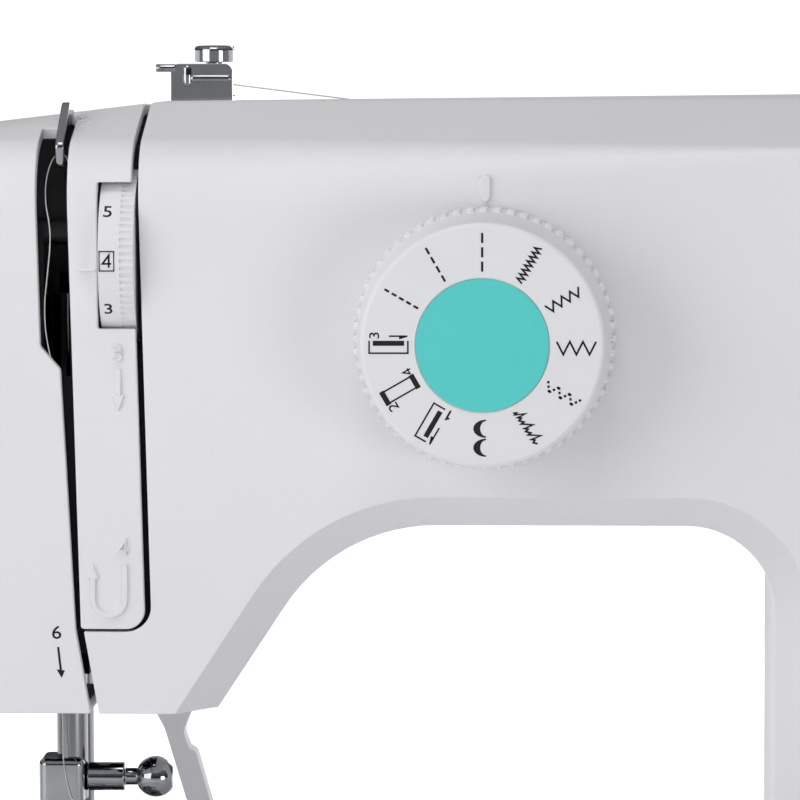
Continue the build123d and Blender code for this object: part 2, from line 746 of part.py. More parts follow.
with BuildPart() as free_arm:
    for inset, low, high, end, mode in (
            (0, arm_floor_z, bed_z, throat_x, Mode.ADD),
            (wall, arm_floor_z + wall, bed_z - wall, throat_x + 1, Mode.SUBTRACT)):
        with BuildSketch(Plane.XY.offset(low)):
            with BuildLine():
                FilletPolyline(
                    (end, arm_front_y + inset), (arm_end_x + inset, arm_front_y + inset),
                    (arm_end_x + inset, arm_rear_y - inset), (end, arm_rear_y - inset),
                    radius=[0, free_arm_round - inset, free_arm_round - inset, 0], close=True)
            make_face()
        extrude(amount=high - low, mode=mode)
    # frame under the needle plate and the bobbin cover
    block(plate_left - 4, plate_right + 4, arm_front_y + 1, plate_rear + 4, plate_low_z - 3, bed_z - 1)
    block(plate_left + 3, plate_right - 3, plate_front - 1, plate_rear - 3, plate_low_z - past, bed_z + 1,
          mode=Mode.SUBTRACT)
    block(needle_x - 18.5, needle_x + 18.5, cover_front + 3, plate_front, plate_low_z - past, bed_z + 1,
          mode=Mode.SUBTRACT)
    block(plate_left - seam, plate_right + seam, plate_front, plate_rear + seam, plate_low_z, bed_z + 1,
          mode=Mode.SUBTRACT)
    block(cover_left - run, cover_right + run, cover_front - run, plate_front + 1, plate_low_z, bed_z + 1,
          mode=Mode.SUBTRACT)
    # ribs with the lower shaft bearings, boss of the hook bearing, shelf of the feed bar
    half = lower_bush_length / 2
    for x in lower_bearings:
        block(x - half, x + half, arm_front_y + 1, arm_rear_y - 1, arm_floor_z + 1, plate_low_z - seam)
    block(feed_left + 26, lower_bearings[0] - 2, feed_front - 3, feed_rear + 3, feed_bar_z - 5,
          feed_bar_z - seam)
    for x in lower_bearings:
        rod_x(x - half - 1, x + half + 1, lower_y, lower_z, lower_shaft_radius + bush_wall,
              mode=Mode.SUBTRACT)
    rod_z(arm_floor_z + 1, lower_z - 8.5, needle_x, hook_y, hook_shaft_radius + 3)
    rod_z(arm_floor_z + 4, lower_z - 8, needle_x, hook_y, hook_shaft_radius + bush_gap, mode=Mode.SUBTRACT)

with BuildPart() as needle_plate:
    block(plate_left, plate_right, plate_front, plate_rear, plate_low_z, bed_z)
    with BuildSketch(Plane.XY.offset(plate_low_z - 1)):
        with Locations((needle_x, needle_y)):
            SlotOverall(8.4, 2.4)
        for side in (-1, 1):
            with Locations((needle_x + side * feed_row, feed_y)):
                SlotOverall(feed_rear - feed_front + 8, 4.8, rotation=90)
        for x in plate_screw_x:
            with Locations((x, plate_screw_y)):
                Circle(screw_radius)
    extrude(amount=plate_sheet + 2, mode=Mode.SUBTRACT)

with BuildPart() as bobbin_cover:
    block(cover_left, cover_right, cover_front, plate_front - run, plate_low_z, bed_z)
    rod_z(plate_low_z - 1, bed_z + 1, cover_right, (cover_front + plate_front) / 2, 5, mode=Mode.SUBTRACT)

with BuildPart() as accessory_tray:
    low = base_top_z + run
    wrap_x = arm_end_x - tray_gap
    inner_y = arm_front_y - tray_gap
    with BuildSketch(Plane.XY.offset(low)):
        with BuildLine():
            FilletPolyline(
                (tray_right, base_front), (tray_left, base_front), (tray_left, arm_rear_y),
                (wrap_x, arm_rear_y), (wrap_x, inner_y), (tray_right, inner_y),
                radius=[0, base_round, 6, 0, free_arm_round + tray_gap, 0], close=True)
        make_face()
    extrude(amount=bed_z - low)
    # compartment, hollow under the left wrap, lid opening and its hinge holes
    block(tray_left + 14, tray_right - tray_wall, base_front + tray_wall, inner_y - tray_wall,
          low + tray_wall, bed_z - tray_wall, mode=Mode.SUBTRACT)
    block(tray_left + tray_wall, wrap_x - tray_wall, base_front + 24, arm_rear_y - 8, low - 1,
          bed_z - tray_wall, mode=Mode.SUBTRACT)
    block(lid_left - run, lid_right + run, base_front - 1, base_front + tray_wall + 1, lid_low_z - run,
          lid_high_z + run, mode=Mode.SUBTRACT)
    rod_x(lid_left - 5, lid_right + 5, lid_axis_y, lid_axis_z, lid_pin_radius + bush_gap, mode=Mode.SUBTRACT)

with BuildPart() as tray_lid:
    block(lid_left, lid_right, base_front, base_front + tray_wall, lid_axis_z, lid_high_z)
    rod_x(lid_left, lid_right, lid_axis_y, lid_axis_z, tray_wall / 2)
    rod_x(lid_left - 4, lid_right + 4, lid_axis_y, lid_axis_z, lid_pin_radius)
    # finger scoop at the top edge
    rod_y(base_front - 1, base_front + tray_wall + 1, (lid_left + lid_right) / 2, lid_high_z + 10, 16,
          mode=Mode.SUBTRACT)

# Main drive
with BuildPart() as main_shaft:
    rod_x(crank_x + crank_thickness, handwheel_right - 4, needle_y, shaft_z, shaft_radius)

with BuildPart() as crank:
    rod_x(crank_x, crank_x + crank_thickness, needle_y, shaft_z, crank_radius)
    for near, away in ((-crank_radius, -crank_web / 2), (crank_web / 2, crank_radius)):
        block(crank_x - 1, crank_x + crank_thickness + 1, needle_y + near, needle_y + away,
              shaft_z - 1, shaft_z + crank_radius, mode=Mode.SUBTRACT)
    rod_x(crank_x - link_thickness - 2 * run, crank_x + 0.5, needle_y, shaft_z + crank_throw,
          crank_pin_radius)

with BuildPart() as connecting_link:
    top_z = shaft_z + crank_throw
    with BuildSketch(Plane.YZ.offset(crank_x - run - link_thickness)):
        with Locations((needle_y, top_z - link_length / 2)):
            SlotCenterToCenter(link_length, link_width, rotation=90)
        with Locations((needle_y, top_z)):
            Circle(crank_pin_radius + bush_gap, mode=Mode.SUBTRACT)
        with Locations((needle_y, driver_z)):
            Circle(link_eye_radius, mode=Mode.SUBTRACT)
    extrude(amount=link_thickness)

with BuildPart() as shaft_bushes:
    for places, length, y, z, bore in (
            (main_bearings, bush_length, needle_y, shaft_z, shaft_radius),
            (lower_bearings, lower_bush_length, lower_y, lower_z, lower_shaft_radius)):
        for x in places:
            rod_x(x - length / 2, x + length / 2, y, z, bore + bush_wall)
            rod_x(x - length, x + length, y, z, bore + bush_gap, mode=Mode.SUBTRACT)


def pulley(x, y, z, radius, bore):
    """Flanged pulley for a flat belt, centred at x."""
    half = pulley_width / 2
    rod_x(x - half, x + half, y, z, radius)
    rod_x(x - half - flange_width, x - half, y, z, radius + flange_height)
    rod_x(x + half, x + half + flange_width, y, z, radius + flange_height)
    rod_x(x - half - flange_width - 0.5, x + half + flange_width + 0.5, y, z, bore, mode=Mode.SUBTRACT)


with BuildPart() as shaft_pulleys:
    pulley(timing_x, needle_y, shaft_z, pulley_radius, shaft_radius)
    pulley(drive_belt_x, needle_y, shaft_z, drive_pulley_radius, shaft_radius)

with BuildPart() as handwheel:
    with BuildSketch(Plane.YZ.offset(handwheel_left)):
        with Locations((needle_y, shaft_z)):
            Circle(handwheel_radius)
        with Locations(Location((needle_y, shaft_z))):
            with PolarLocations(handwheel_radius + 3.2, handwheel_grips):
                Circle(4.6, mode=Mode.SUBTRACT)
    extrude(amount=handwheel_width - 4)
    # dished end with a raised boss, and the hub towards the column
    rod_x(handwheel_right - 4.5, handwheel_right, needle_y, shaft_z, handwheel_radius - 5)
    rod_x(handwheel_right - 1.6, handwheel_right + 1, needle_y, shaft_z, handwheel_radius - 9,
          mode=Mode.SUBTRACT)
    rod_x(handwheel_right - 2, handwheel_right, needle_y, shaft_z, handwheel_hub_radius - 1)
    rod_x(column_right + run, handwheel_left + 1, needle_y, shaft_z, handwheel_hub_radius)
    rod_x(column_right, handwheel_right - 4, needle_y, shaft_z, shaft_radius, mode=Mode.SUBTRACT)

with BuildPart() as motor:
    rod_x(motor_left, motor_right, needle_y, motor_z, motor_radius)
    rod_x(motor_left - 6, motor_left + 1, needle_y, motor_z, 12)
    rod_x(motor_right - 30, motor_right + 1, needle_y, motor_z, motor_shaft_radius + bush_gap,
          mode=Mode.SUBTRACT)

with BuildPart() as motor_pulley:
    pulley(drive_belt_x, needle_y, motor_z, motor_pulley_radius, motor_shaft_radius - 1)
    rod_x(motor_right - 28, drive_belt_x + 7, needle_y, motor_z, motor_shaft_radius)


def belt(x, width, far_y, far_z, near_radius, far_radius):
    """Closed flat belt round a wheel on the main shaft and a wheel at far_y, far_z."""
    for grow, mode in ((belt_thickness, Mode.ADD), (bush_gap, Mode.SUBTRACT)):
        with BuildSketch(Plane.YZ.offset(x - width / 2)) as loop:
            with BuildLine() as rims:
                CenterArc((needle_y, shaft_z), near_radius + grow, 0, 360)
                CenterArc((far_y, far_z), far_radius + grow, 0, 360)
            make_hull(rims.edges())
        extrude(loop.sketch, amount=width, mode=mode)


with BuildPart() as motor_belt:
    belt(drive_belt_x, pulley_width - 1, needle_y, motor_z, drive_pulley_radius, motor_pulley_radius)

with BuildPart() as timing_belt:
    belt(timing_x, pulley_width - 1, lower_y, lower_z, pulley_radius, pulley_radius)

with BuildPart() as lower_shaft:
    gear_left = needle_x - gear_width / 2
    rod_x(gear_left, gear_left + gear_width, lower_y, lower_z, lower_gear_radius)
    rod_x(gear_left - 4, timing_x + 9, lower_y, lower_z, lower_shaft_radius)
    pulley(timing_x, lower_y, lower_z, pulley_radius, lower_shaft_radius - 1)

# Hook and bobbin
with BuildPart() as hook:
    rod_z(lower_z - hook_gear_height / 2, lower_z + hook_gear_height / 2, needle_x, hook_y, hook_gear_radius)
    rod_z(hook_floor_z, hook_top_z, needle_x, hook_y, hook_radius)
    rod_z(hook_floor_z + 2, hook_top_z + 1, needle_x, hook_y, hook_radius - hook_wall, mode=Mode.SUBTRACT)
    # gap behind the hook point
    block(needle_x + 4, needle_x + hook_radius + 1, hook_y + 1, hook_y + hook_radius + 1,
          hook_top_z - 6, hook_top_z + 1, mode=Mode.SUBTRACT)
    rod_z(lower_z - 14, hook_floor_z + 0.5, needle_x, hook_y, hook_shaft_radius)

with BuildPart() as bobbin_case:
    basket_low = hook_floor_z + 2.5
    rod_z(basket_low, hook_top_z - 0.4, needle_x, hook_y, basket_radius)
    rod_z(basket_low + basket_floor, hook_top_z + 1, needle_x, hook_y, basket_radius - basket_wall,
          mode=Mode.SUBTRACT)

with BuildPart() as bobbin:
    low = basket_low + basket_floor + seam
    high = low + bobbin_height
    rod_z(low, high, needle_x, hook_y, bobbin_core_radius)
    rod_z(low, low + bobbin_flange, needle_x, hook_y, bobbin_radius)
    rod_z(high - bobbin_flange, high, needle_x, hook_y, bobbin_radius)
    rod_z(low - 1, high + 1, needle_x, hook_y, bobbin_bore_radius, mode=Mode.SUBTRACT)

# Feed
with BuildPart() as feed_bar:
    block(feed_left, lower_bearings[0] - 4, feed_front, feed_rear, feed_bar_z, feed_bar_z + 5)
    for side in (-1, 1):
        rod_z(feed_bar_z - 1, feed_bar_z + 6, needle_x + side * feed_row, feed_y, feed_pin_radius + bush_gap,
              mode=Mode.SUBTRACT)

with BuildPart() as feed_dog:
    low = feed_bar_z + 7.4
    tooth_pitch = (feed_rear - feed_front + 2) / feed_teeth
    block(needle_x - feed_row - 2, needle_x + feed_row + 2, feed_front, feed_rear, low, low + 2.5)
    for side in (-1, 1):
        x = needle_x + side * feed_row
        block(x - 1.9, x + 1.9, feed_front - 1, feed_rear + 1, low + 1, bed_z)
        # saw teeth that stand over the needle plate
        with BuildSketch(Plane.YZ.offset(x - 1.9)):
            for i in range(feed_teeth):
                start = feed_front - 1 + i * tooth_pitch
                end = start + 0.75 * tooth_pitch
                with BuildLine():
                    Polyline((start, bed_z - 0.1), (end, bed_z - 0.1), (end, bed_z + feed_height), close=True)
                make_face()
        extrude(amount=3.8)
        rod_z(feed_bar_z + 1, low + 0.5, x, feed_y, feed_pin_radius)

# Needle bar, presser bar and take-up
with BuildPart() as needle_bar_frame:
    front, rear = needle_y - frame_depth / 2, needle_y + frame_depth / 2
    block(needle_x - 8.5, needle_x - 4.6, front, rear, frame_bushes[0][0], swing_z)
    rod_y(front, rear, swing_x, swing_z, swing_pin_radius + 2)
    rod_y(front - 1, rear + 1, swing_x, swing_z, swing_pin_radius + bush_gap, mode=Mode.SUBTRACT)
    for low, high in frame_bushes:
        block(needle_x - 5, needle_x + 4.8, front, rear, low, high)
        rod_z(low - 1, high + 1, needle_x, needle_y, bar_radius + bush_gap, mode=Mode.SUBTRACT)

with BuildPart() as needle_bar:
    rod_z(bar_foot_z, bar_top_z, needle_x, needle_y, bar_radius)
    rod_z(driver_z - 4, driver_z + 4, needle_x, needle_y, bar_radius + 0.6)

with BuildPart() as needle_clamp:
    block(needle_x - 7.4, needle_x + 3.2, needle_y - 5.6, needle_y + 5.6,
          clamp_z - clamp_height / 2, clamp_z + clamp_height / 2)
    fillet(needle_clamp.edges().filter_by(Axis.Z), 2)
    fillet(needle_clamp.faces().sort_by(Axis.Z)[-1].edges(), 1.6)
    rod_z(clamp_z - clamp_height, clamp_z + clamp_height, needle_x, needle_y, bar_radius, mode=Mode.SUBTRACT)

with BuildPart() as clamp_screw:
    rod_x(needle_x + 3.6, needle_x + 12.3, needle_y, clamp_z, 3.3)
    rod_x(needle_x + 12, needle_x + 15.5, needle_y, clamp_z, 2)
    # ball knob with flat ends
    with BuildPart() as knob:
        with Locations((needle_x + 15.3 + knob_length / 2, needle_y, clamp_z)):
            Sphere(knob_radius)
            Cylinder(knob_radius + 1, knob_length, rotation=(0, 90, 0), mode=Mode.INTERSECT)
    add(knob.part)

with BuildPart() as needle:
    shank_low = bar_foot_z - 12
    rod_z(shank_low, bar_foot_z, needle_x, needle_y, 1)
    rod_z(needle_tip_z + 4, shank_low, needle_x, needle_y, 0.5)
    with Locations((needle_x, needle_y, needle_tip_z + 2)):
        Cone(0.1, 0.5, 4)

with BuildPart() as presser_bar:
    rod_z(foot_joint_z + 16, presser_shelves[1] + 16, needle_x, presser_y, bar_radius)
    # lifting lug over the cam of the lifter, and the seat of the spring
    block(needle_x - 3, needle_x + 3, presser_y, lug_y + lug_depth, lug_z, lug_z + 6)
    block(needle_x - 3, lifter_x + 5, lug_y, lug_y + lug_depth, lug_z, lug_z + 6)
    rod_z(lug_z + 5, lug_z + 12, needle_x, presser_y, bar_radius + 2)

with BuildPart() as presser_spring:
    rod_z(lug_z + 12, presser_shelves[1], needle_x, presser_y, bar_radius + 1.8)
    rod_z(lug_z + 11, presser_shelves[1] + 1, needle_x, presser_y, bar_radius + 0.4, mode=Mode.SUBTRACT)

with BuildPart() as foot_ankle:
    block(needle_x - 5.5, needle_x + 5.5, presser_y - 5, presser_y + 5.5, foot_joint_z + 8, foot_joint_z + 24)
    rod_z(foot_joint_z + 16, foot_joint_z + 25, needle_x, presser_y, bar_radius, mode=Mode.SUBTRACT)
    block(needle_x - 3, needle_x + 3, foot_joint_y - 3, presser_y + 4, foot_joint_z, foot_joint_z + 9)
    rod_x(needle_x - 3, needle_x + 3, foot_joint_y, foot_joint_z, 3)
    rod_x(needle_x - 4, needle_x + 4, foot_joint_y, foot_joint_z, foot_pin_radius + bush_gap,
          mode=Mode.SUBTRACT)

with BuildPart() as presser_foot:
    low = bed_z + feed_height + run
    with BuildSketch(Plane.XY.offset(low)):
        with Locations((needle_x, (sole_front_y + sole_rear_y) / 2)):
            RectangleRounded(sole_width, sole_rear_y - sole_front_y, 2)
        with Locations((needle_x, needle_y)):
            SlotOverall(9, 4, mode=Mode.SUBTRACT)
        with Locations((needle_x, (sole_front_y + needle_y) / 2)):
            Rectangle(3.2, needle_y - sole_front_y, mode=Mode.SUBTRACT)
    extrude(amount=sole_thickness)
    # ears that hold the cross pin
    for side in (-1, 1):
        x = needle_x + side * 4.6
        block(x - 1.3, x + 1.3, foot_joint_y - 4, foot_joint_y + 4, low + 1, foot_joint_z)
        rod_x(x - 1.3, x + 1.3, foot_joint_y, foot_joint_z, 4)
    rod_x(needle_x - 5.9, needle_x + 5.9, foot_joint_y, foot_joint_z, foot_pin_radius)

with BuildPart() as presser_lifter:
    rod_y(lug_y - 1, rear_y + 4, lifter_x, lifter_z, lifter_pin_radius)
    # snail cam under the lug of the presser bar
    with BuildSketch(Plane.XZ.offset(-lug_y - lug_depth)):
        with BuildLine():
            rim = [(cam_radius(a), radians(a)) for a in range(-10, lifter_swing + 21, 10)]
            Polyline(*[(lifter_x + r * sin(turn), lifter_z + r * cos(turn)) for r, turn in rim],
                     (lifter_x + 3, lifter_z - 4), (lifter_x - 4, lifter_z - 3), close=True)
        make_face()
    extrude(amount=lug_depth)
    # hand lever behind the rear cover
    with BuildSketch(Plane.XZ.offset(-rear_y - lifter_thickness - 0.8)):
        with BuildLine():
            # outline from the hub, down the right side of the arm, round the pad and up the left side
            FilletPolyline((lifter_x - 7, lifter_z + 7), (lifter_x + 8, lifter_z + 7),
                           (lifter_x + 11, lifter_z - 20), (lifter_x + 7.9, lifter_z - 28),
                           (lifter_x + 9.4, lifter_z - 32), (lifter_x + 11, lifter_z - 32.9),
                           (lifter_x + 18, lifter_z - 58), (lifter_x + 12.5, lifter_z - 58),
                           (lifter_x + 3.3, lifter_z - 27), (lifter_x - 7, lifter_z - 8),
                           radius=[6, 6, 6, 4, 0.6, 2, 2.6, 2.6, 10, 6], close=True)
        make_face()
    extrude(amount=lifter_thickness)

with BuildPart() as take_up_lever:
    nose_y = needle_y - take_up_nose[0]
    nose_z = take_up_z + take_up_nose[1]
    with BuildSketch(Plane.YZ.offset(take_up_x)):
        # arm that rises through the roof and hooks forward to the thread eye
        with BuildLine():
            FilletPolyline((needle_y - 5, take_up_z - 2), (needle_y + 2, take_up_z + 5),
                           (needle_y - 12, take_up_z + 29.5), (needle_y - 19, take_up_z + 30.6),
                           (nose_y - 2.6, nose_z + 2.4), (nose_y - 1.4, nose_z - 3.4),
                           (needle_y - 18.5, take_up_z + 20),
                           radius=[0, 0, 4, 5, 1.6, 1.6, 3], close=True)
        make_face()
        with Locations((needle_y, take_up_z)):
            Circle(take_up_boss_radius)
        with Locations((nose_y, nose_z)):
            Circle(take_up_eye_radius, mode=Mode.SUBTRACT)
        with Locations((needle_y, take_up_z)):
            Circle(take_up_stud_radius + bush_gap, mode=Mode.SUBTRACT)
    extrude(amount=take_up_thickness)

# Controls
with BuildPart() as pattern_dial:
    with BuildSketch(Plane.XZ.offset(-dial_back_y)):
        with Locations((dial_x, dial_z)):
            Circle(dial_radius)
    extrude(amount=dial_height, taper=degrees(atan((dial_radius - dial_face_radius) / dial_height)))
    fillet(pattern_dial.edges().group_by(Axis.Y)[0], 1.2)
    # grip tabs round the foot of the dial
    with BuildSketch(Plane.XZ.offset(-dial_back_y + 1)):
        with Locations(Location((dial_x, dial_z))):
            with PolarLocations(dial_radius - 0.6, dial_teeth):
                RectangleRounded(2.8, 1.7, 0.5)
    extrude(amount=dial_tab_height)
    # hollow back, hub and shaft
    rod_y(dial_face_y + 3, dial_back_y + 1, dial_x, dial_z, dial_radius - 4, mode=Mode.SUBTRACT)
    rod_y(dial_face_y + 2, cam_front_y + cam_depth + 1, dial_x, dial_z, dial_shaft_radius)
    rod_y(dial_face_y - 1, dial_face_y + disc_sink, dial_x, dial_z, dial_disc_radius, mode=Mode.SUBTRACT)

with BuildPart() as dial_disc:
    disc_back_y = dial_face_y + disc_sink
    rod_y(disc_back_y - dial_disc_thickness, disc_back_y, dial_x, dial_z, dial_disc_radius)

with BuildPart() as pattern_cam:
    rod_y(cam_front_y, cam_front_y + cam_depth, dial_x, dial_z, cam_radius_small)
    for i in range(cam_tracks):
        start = cam_front_y + i * cam_depth / cam_tracks
        with Locations(Location((dial_x, start + 2, dial_z), (90, 0, 0))):
            with PolarLocations(3, 1, start_angle=70 * i):
                Cylinder(cam_radius_large, 3.2)
    rod_y(cam_front_y - 1, cam_front_y + cam_depth + 1, dial_x, dial_z, dial_shaft_radius, mode=Mode.SUBTRACT)

with BuildPart() as tension_dial:
    smooth = tension_left + tension_smooth
    rod_x(tension_left, smooth + 0.5, tension_y, tension_z, tension_radius)
    with BuildSketch(Plane.YZ.offset(smooth)):
        with Locations((tension_y, tension_z)):
            Circle(tension_radius)
        with Locations(Location((tension_y, tension_z))):
            with PolarLocations(tension_radius + knurl_radius / 3, tension_knurls):
                Circle(knurl_radius, mode=Mode.SUBTRACT)
    extrude(amount=tension_right - smooth)
    rod_x(tension_left - 1, tension_right + 1, tension_y, tension_z, tension_stud_radius + bush_gap,
          mode=Mode.SUBTRACT)

with BuildPart() as tension_discs:
    for x in (tension_right + 0.5, tension_right + 2.2):
        rod_x(x, x + 1.1, tension_y, tension_z, tension_disc_radius)
        rod_x(x - 1, x + 2, tension_y, tension_z, tension_stud_radius, mode=Mode.SUBTRACT)

with BuildPart() as reverse_lever:
    block(lever_x - lever_width / 2, lever_x + lever_width / 2, lever_y - lever_length, lever_y,
          lever_z - lever_height / 2, lever_z + lever_height / 2)
    fillet(reverse_lever.edges().filter_by(Axis.X), 5)
    rod_x(lever_x - lever_width / 2 - 6.5, lever_x + lever_width / 2 + 6.5, lever_y, lever_z,
          lever_pin_radius)

with BuildPart() as power_inlet:
    body_y, body_z = inlet_width / 2 - 2.2, inlet_height / 2 - 2.2
    block(column_right - 14, column_right, inlet_y - body_y, inlet_y + body_y, inlet_z - body_z,
          inlet_z + body_z)
    block(column_right, column_right + 1.6, inlet_y - inlet_width / 2, inlet_y + inlet_width / 2,
          inlet_z - inlet_height / 2, inlet_z + inlet_height / 2)
    block(column_right - 10, column_right + 2, inlet_y - 9, inlet_y + 9, inlet_z - 5.5, inlet_z + 5.5,
          mode=Mode.SUBTRACT)
    for side in (-1, 1):
        rod_x(column_right - 10.5, column_right - 1, inlet_y + side * 4.5, inlet_z, 1.2)

with BuildPart() as power_switch:
    half = switch_height / 2
    with BuildSketch(Plane.XZ.offset(-switch_y - switch_width / 2)):
        with BuildLine():
            Polyline((column_right - 6, inlet_z - half), (column_right + 2.6, inlet_z - half),
                     (column_right + 1.2, inlet_z), (column_right + 2.6, inlet_z + half),
                     (column_right - 6, inlet_z + half), close=True)
        make_face()
    extrude(amount=switch_width)
    rod_y(switch_y - switch_width / 2 - 1.4, switch_y + switch_width / 2 + 1.4,
          column_right - base_wall - 1.6, inlet_z, 1.5)

# Top of the arm
with BuildPart() as spool_pins:
    for x in (spool_x, spare_spool_x):
        rod_z(spool_seat_z, spool_seat_z + spool_pin_height, x, spool_y, spool_pin_radius)
        rod_z(spool_seat_z - spool_seat_depth, spool_seat_z, x, spool_y, spool_root_radius)

with BuildPart() as thread_spool:
    low = spool_seat_z + run
    high = low + spool_height
    rod_z(low, high, spool_x, spool_y, spool_radius - 1)
    rod_z(low, low + 2, spool_x, spool_y, spool_radius)
    rod_z(high - 2, high, spool_x, spool_y, spool_radius)
    rod_z(low - 1, high + 1, spool_x, spool_y, spool_pin_radius + 2 * bush_gap, mode=Mode.SUBTRACT)

with BuildPart() as winder_lever:
    with BuildSketch(Plane.XY.offset(winder_shelf_z + run)):
        with Locations((winder_x, winder_y + winder_arm / 2)):
            SlotCenterToCenter(winder_arm, 9, rotation=90)
        with Locations((winder_x, winder_y)):
            Circle(winder_radius + bush_gap, mode=Mode.SUBTRACT)
        with Locations((winder_x, winder_y + winder_arm)):
            Circle(winder_pin_radius + bush_gap, mode=Mode.SUBTRACT)
    extrude(amount=winder_sheet)

with BuildPart() as winder_spindle:
    flange_z = roof_z(winder_y) + 4
    rod_z(winder_shelf_z - 3, flange_z + 14, winder_x, winder_y, winder_radius)
    rod_z(flange_z, flange_z + 2, winder_x, winder_y, winder_flange_radius)
    # collars under and over the lever
    rod_z(winder_shelf_z - 2.5, winder_shelf_z, winder_x, winder_y, winder_radius + 1.2)
    rod_z(winder_shelf_z + winder_sheet + 2 * run, winder_shelf_z + winder_sheet + 2, winder_x, winder_y,
          winder_radius + 1.2)

with BuildPart() as thread_guide:
    guide_front, guide_rear = guide_y - guide_depth / 2, guide_y + guide_depth / 2
    block(guide_left, guide_right, guide_front, guide_rear, guide_base_z, guide_base_z + guide_sheet)
    with BuildSketch(Plane.XZ.offset(-guide_front - guide_sheet)):
        with BuildLine():
            FilletPolyline((guide_left, guide_base_z), (guide_right, guide_base_z),
                           (guide_right, guide_top_z), (guide_left, guide_top_z),
                           radius=[0, 0, 2, 2], close=True)
        make_face()
    extrude(amount=guide_sheet)
    # finger that the thread is hooked behind
    rod_x(guide_left - 3.4, guide_left + 1, guide_front + guide_sheet / 2, guide_top_z - 1, 0.9)

with BuildPart() as guide_nut:
    nut_x = guide_right - nut_radius
    rod_z(guide_base_z + guide_sheet, guide_top_z + run, nut_x, guide_y, 2)
    rod_z(guide_top_z + run, guide_top_z + 4, nut_x, guide_y, nut_radius)
    fillet(guide_nut.edges().group_by(Axis.Z)[-1], 1)
    block(nut_x - 6, nut_x + 6, guide_y - 0.6, guide_y + 0.6, guide_top_z + 3, guide_top_z + 5,
          mode=Mode.SUBTRACT)


def strand(points, radius):
    """Round thread through the given points."""
    for start, end in zip(points, points[1:]):
        reach = Vector(*end) - Vector(*start)
        with Locations(Plane(origin=start, z_dir=reach).location):
            Cylinder(radius, reach.length, align=(Align.CENTER, Align.CENTER, Align.MIN))
    for point in points[1:-1]:
        with Locations(point):
            Sphere(radius)


with BuildPart() as upper_thread:
    strand([(spool_x, spool_y - spool_radius + 1 - 1.5 * thread_radius, spool_seat_z + 3),
            (clip_x, clip_y - clip_radius - thread_radius, clip_z + 1),
            (guide_right + 0.2, guide_y - 5.5, guide_base_z + 4)], thread_radius)

with BuildPart() as carry_handle:
    left, right = handle_x - handle_span / 2, handle_x + handle_span / 2
    grip_low = handle_z - handle_drop - handle_bar / 2
    grip_high = grip_low + handle_bar
    with BuildSketch(Plane.XZ.offset(-handle_y - handle_half)):
        with BuildLine():
            FilletPolyline((left, handle_z), (left, grip_low), (right, grip_low), (right, handle_z),
                           (right - handle_strap, handle_z), (right - handle_strap, grip_high),
                           (left + handle_strap, grip_high), (left + handle_strap, handle_z),
                           radius=[0, handle_bar, handle_bar, 0, 0, handle_bar / 2, handle_bar / 2, 0],
                           close=True)
        make_face()
    extrude(amount=2 * handle_half)
    # round strap ends on their pins
    for start, pin_start in ((left, left - 8), (right - handle_strap, right - 1)):
        rod_x(start, start + handle_strap, handle_y, handle_z, handle_half)
        rod_x(pin_start, pin_start + 9, handle_y, handle_z, handle_pin_radius)

# Small fixed pieces
with BuildPart() as lamp_lens:
    half_x, half_y = lamp_length / 2 - seam / 2, lamp_width / 2 - seam / 2
    block(lamp_x - half_x, lamp_x + half_x, lamp_y - half_y, lamp_y + half_y, head_bottom_z - 0.6,
          head_bottom_z + wall)

with BuildPart() as thread_cutter:
    block(head_left - 4, head_left, cutter_y - cutter_width / 2, cutter_y + cutter_width / 2,
          cutter_z - cutter_height / 2, cutter_z + cutter_height / 2)
    fillet(thread_cutter.edges().filter_by(Axis.X), 2)
    block(head_left - 5, head_left - 1.2, cutter_y - past, cutter_y + 4, cutter_z - 0.6, cutter_z + 0.6,
          mode=Mode.SUBTRACT)

with BuildPart() as cover_screws:
    half = screw_slot / 2
    for x, z in cover_screw_places:
        rod_y(rear_y - 2, rear_y + 1.2, x, z, screw_radius)
        block(x - 2.4, x + 2.4, rear_y + 0.4, rear_y + 2, z - half, z + half, mode=Mode.SUBTRACT)
    for x in plate_screw_x:
        rod_z(plate_low_z, bed_z + 0.3, x, plate_screw_y, screw_radius)
        block(x - 2.4, x + 2.4, plate_screw_y - half, plate_screw_y + half, bed_z - 0.5, bed_z + 1,
              mode=Mode.SUBTRACT)

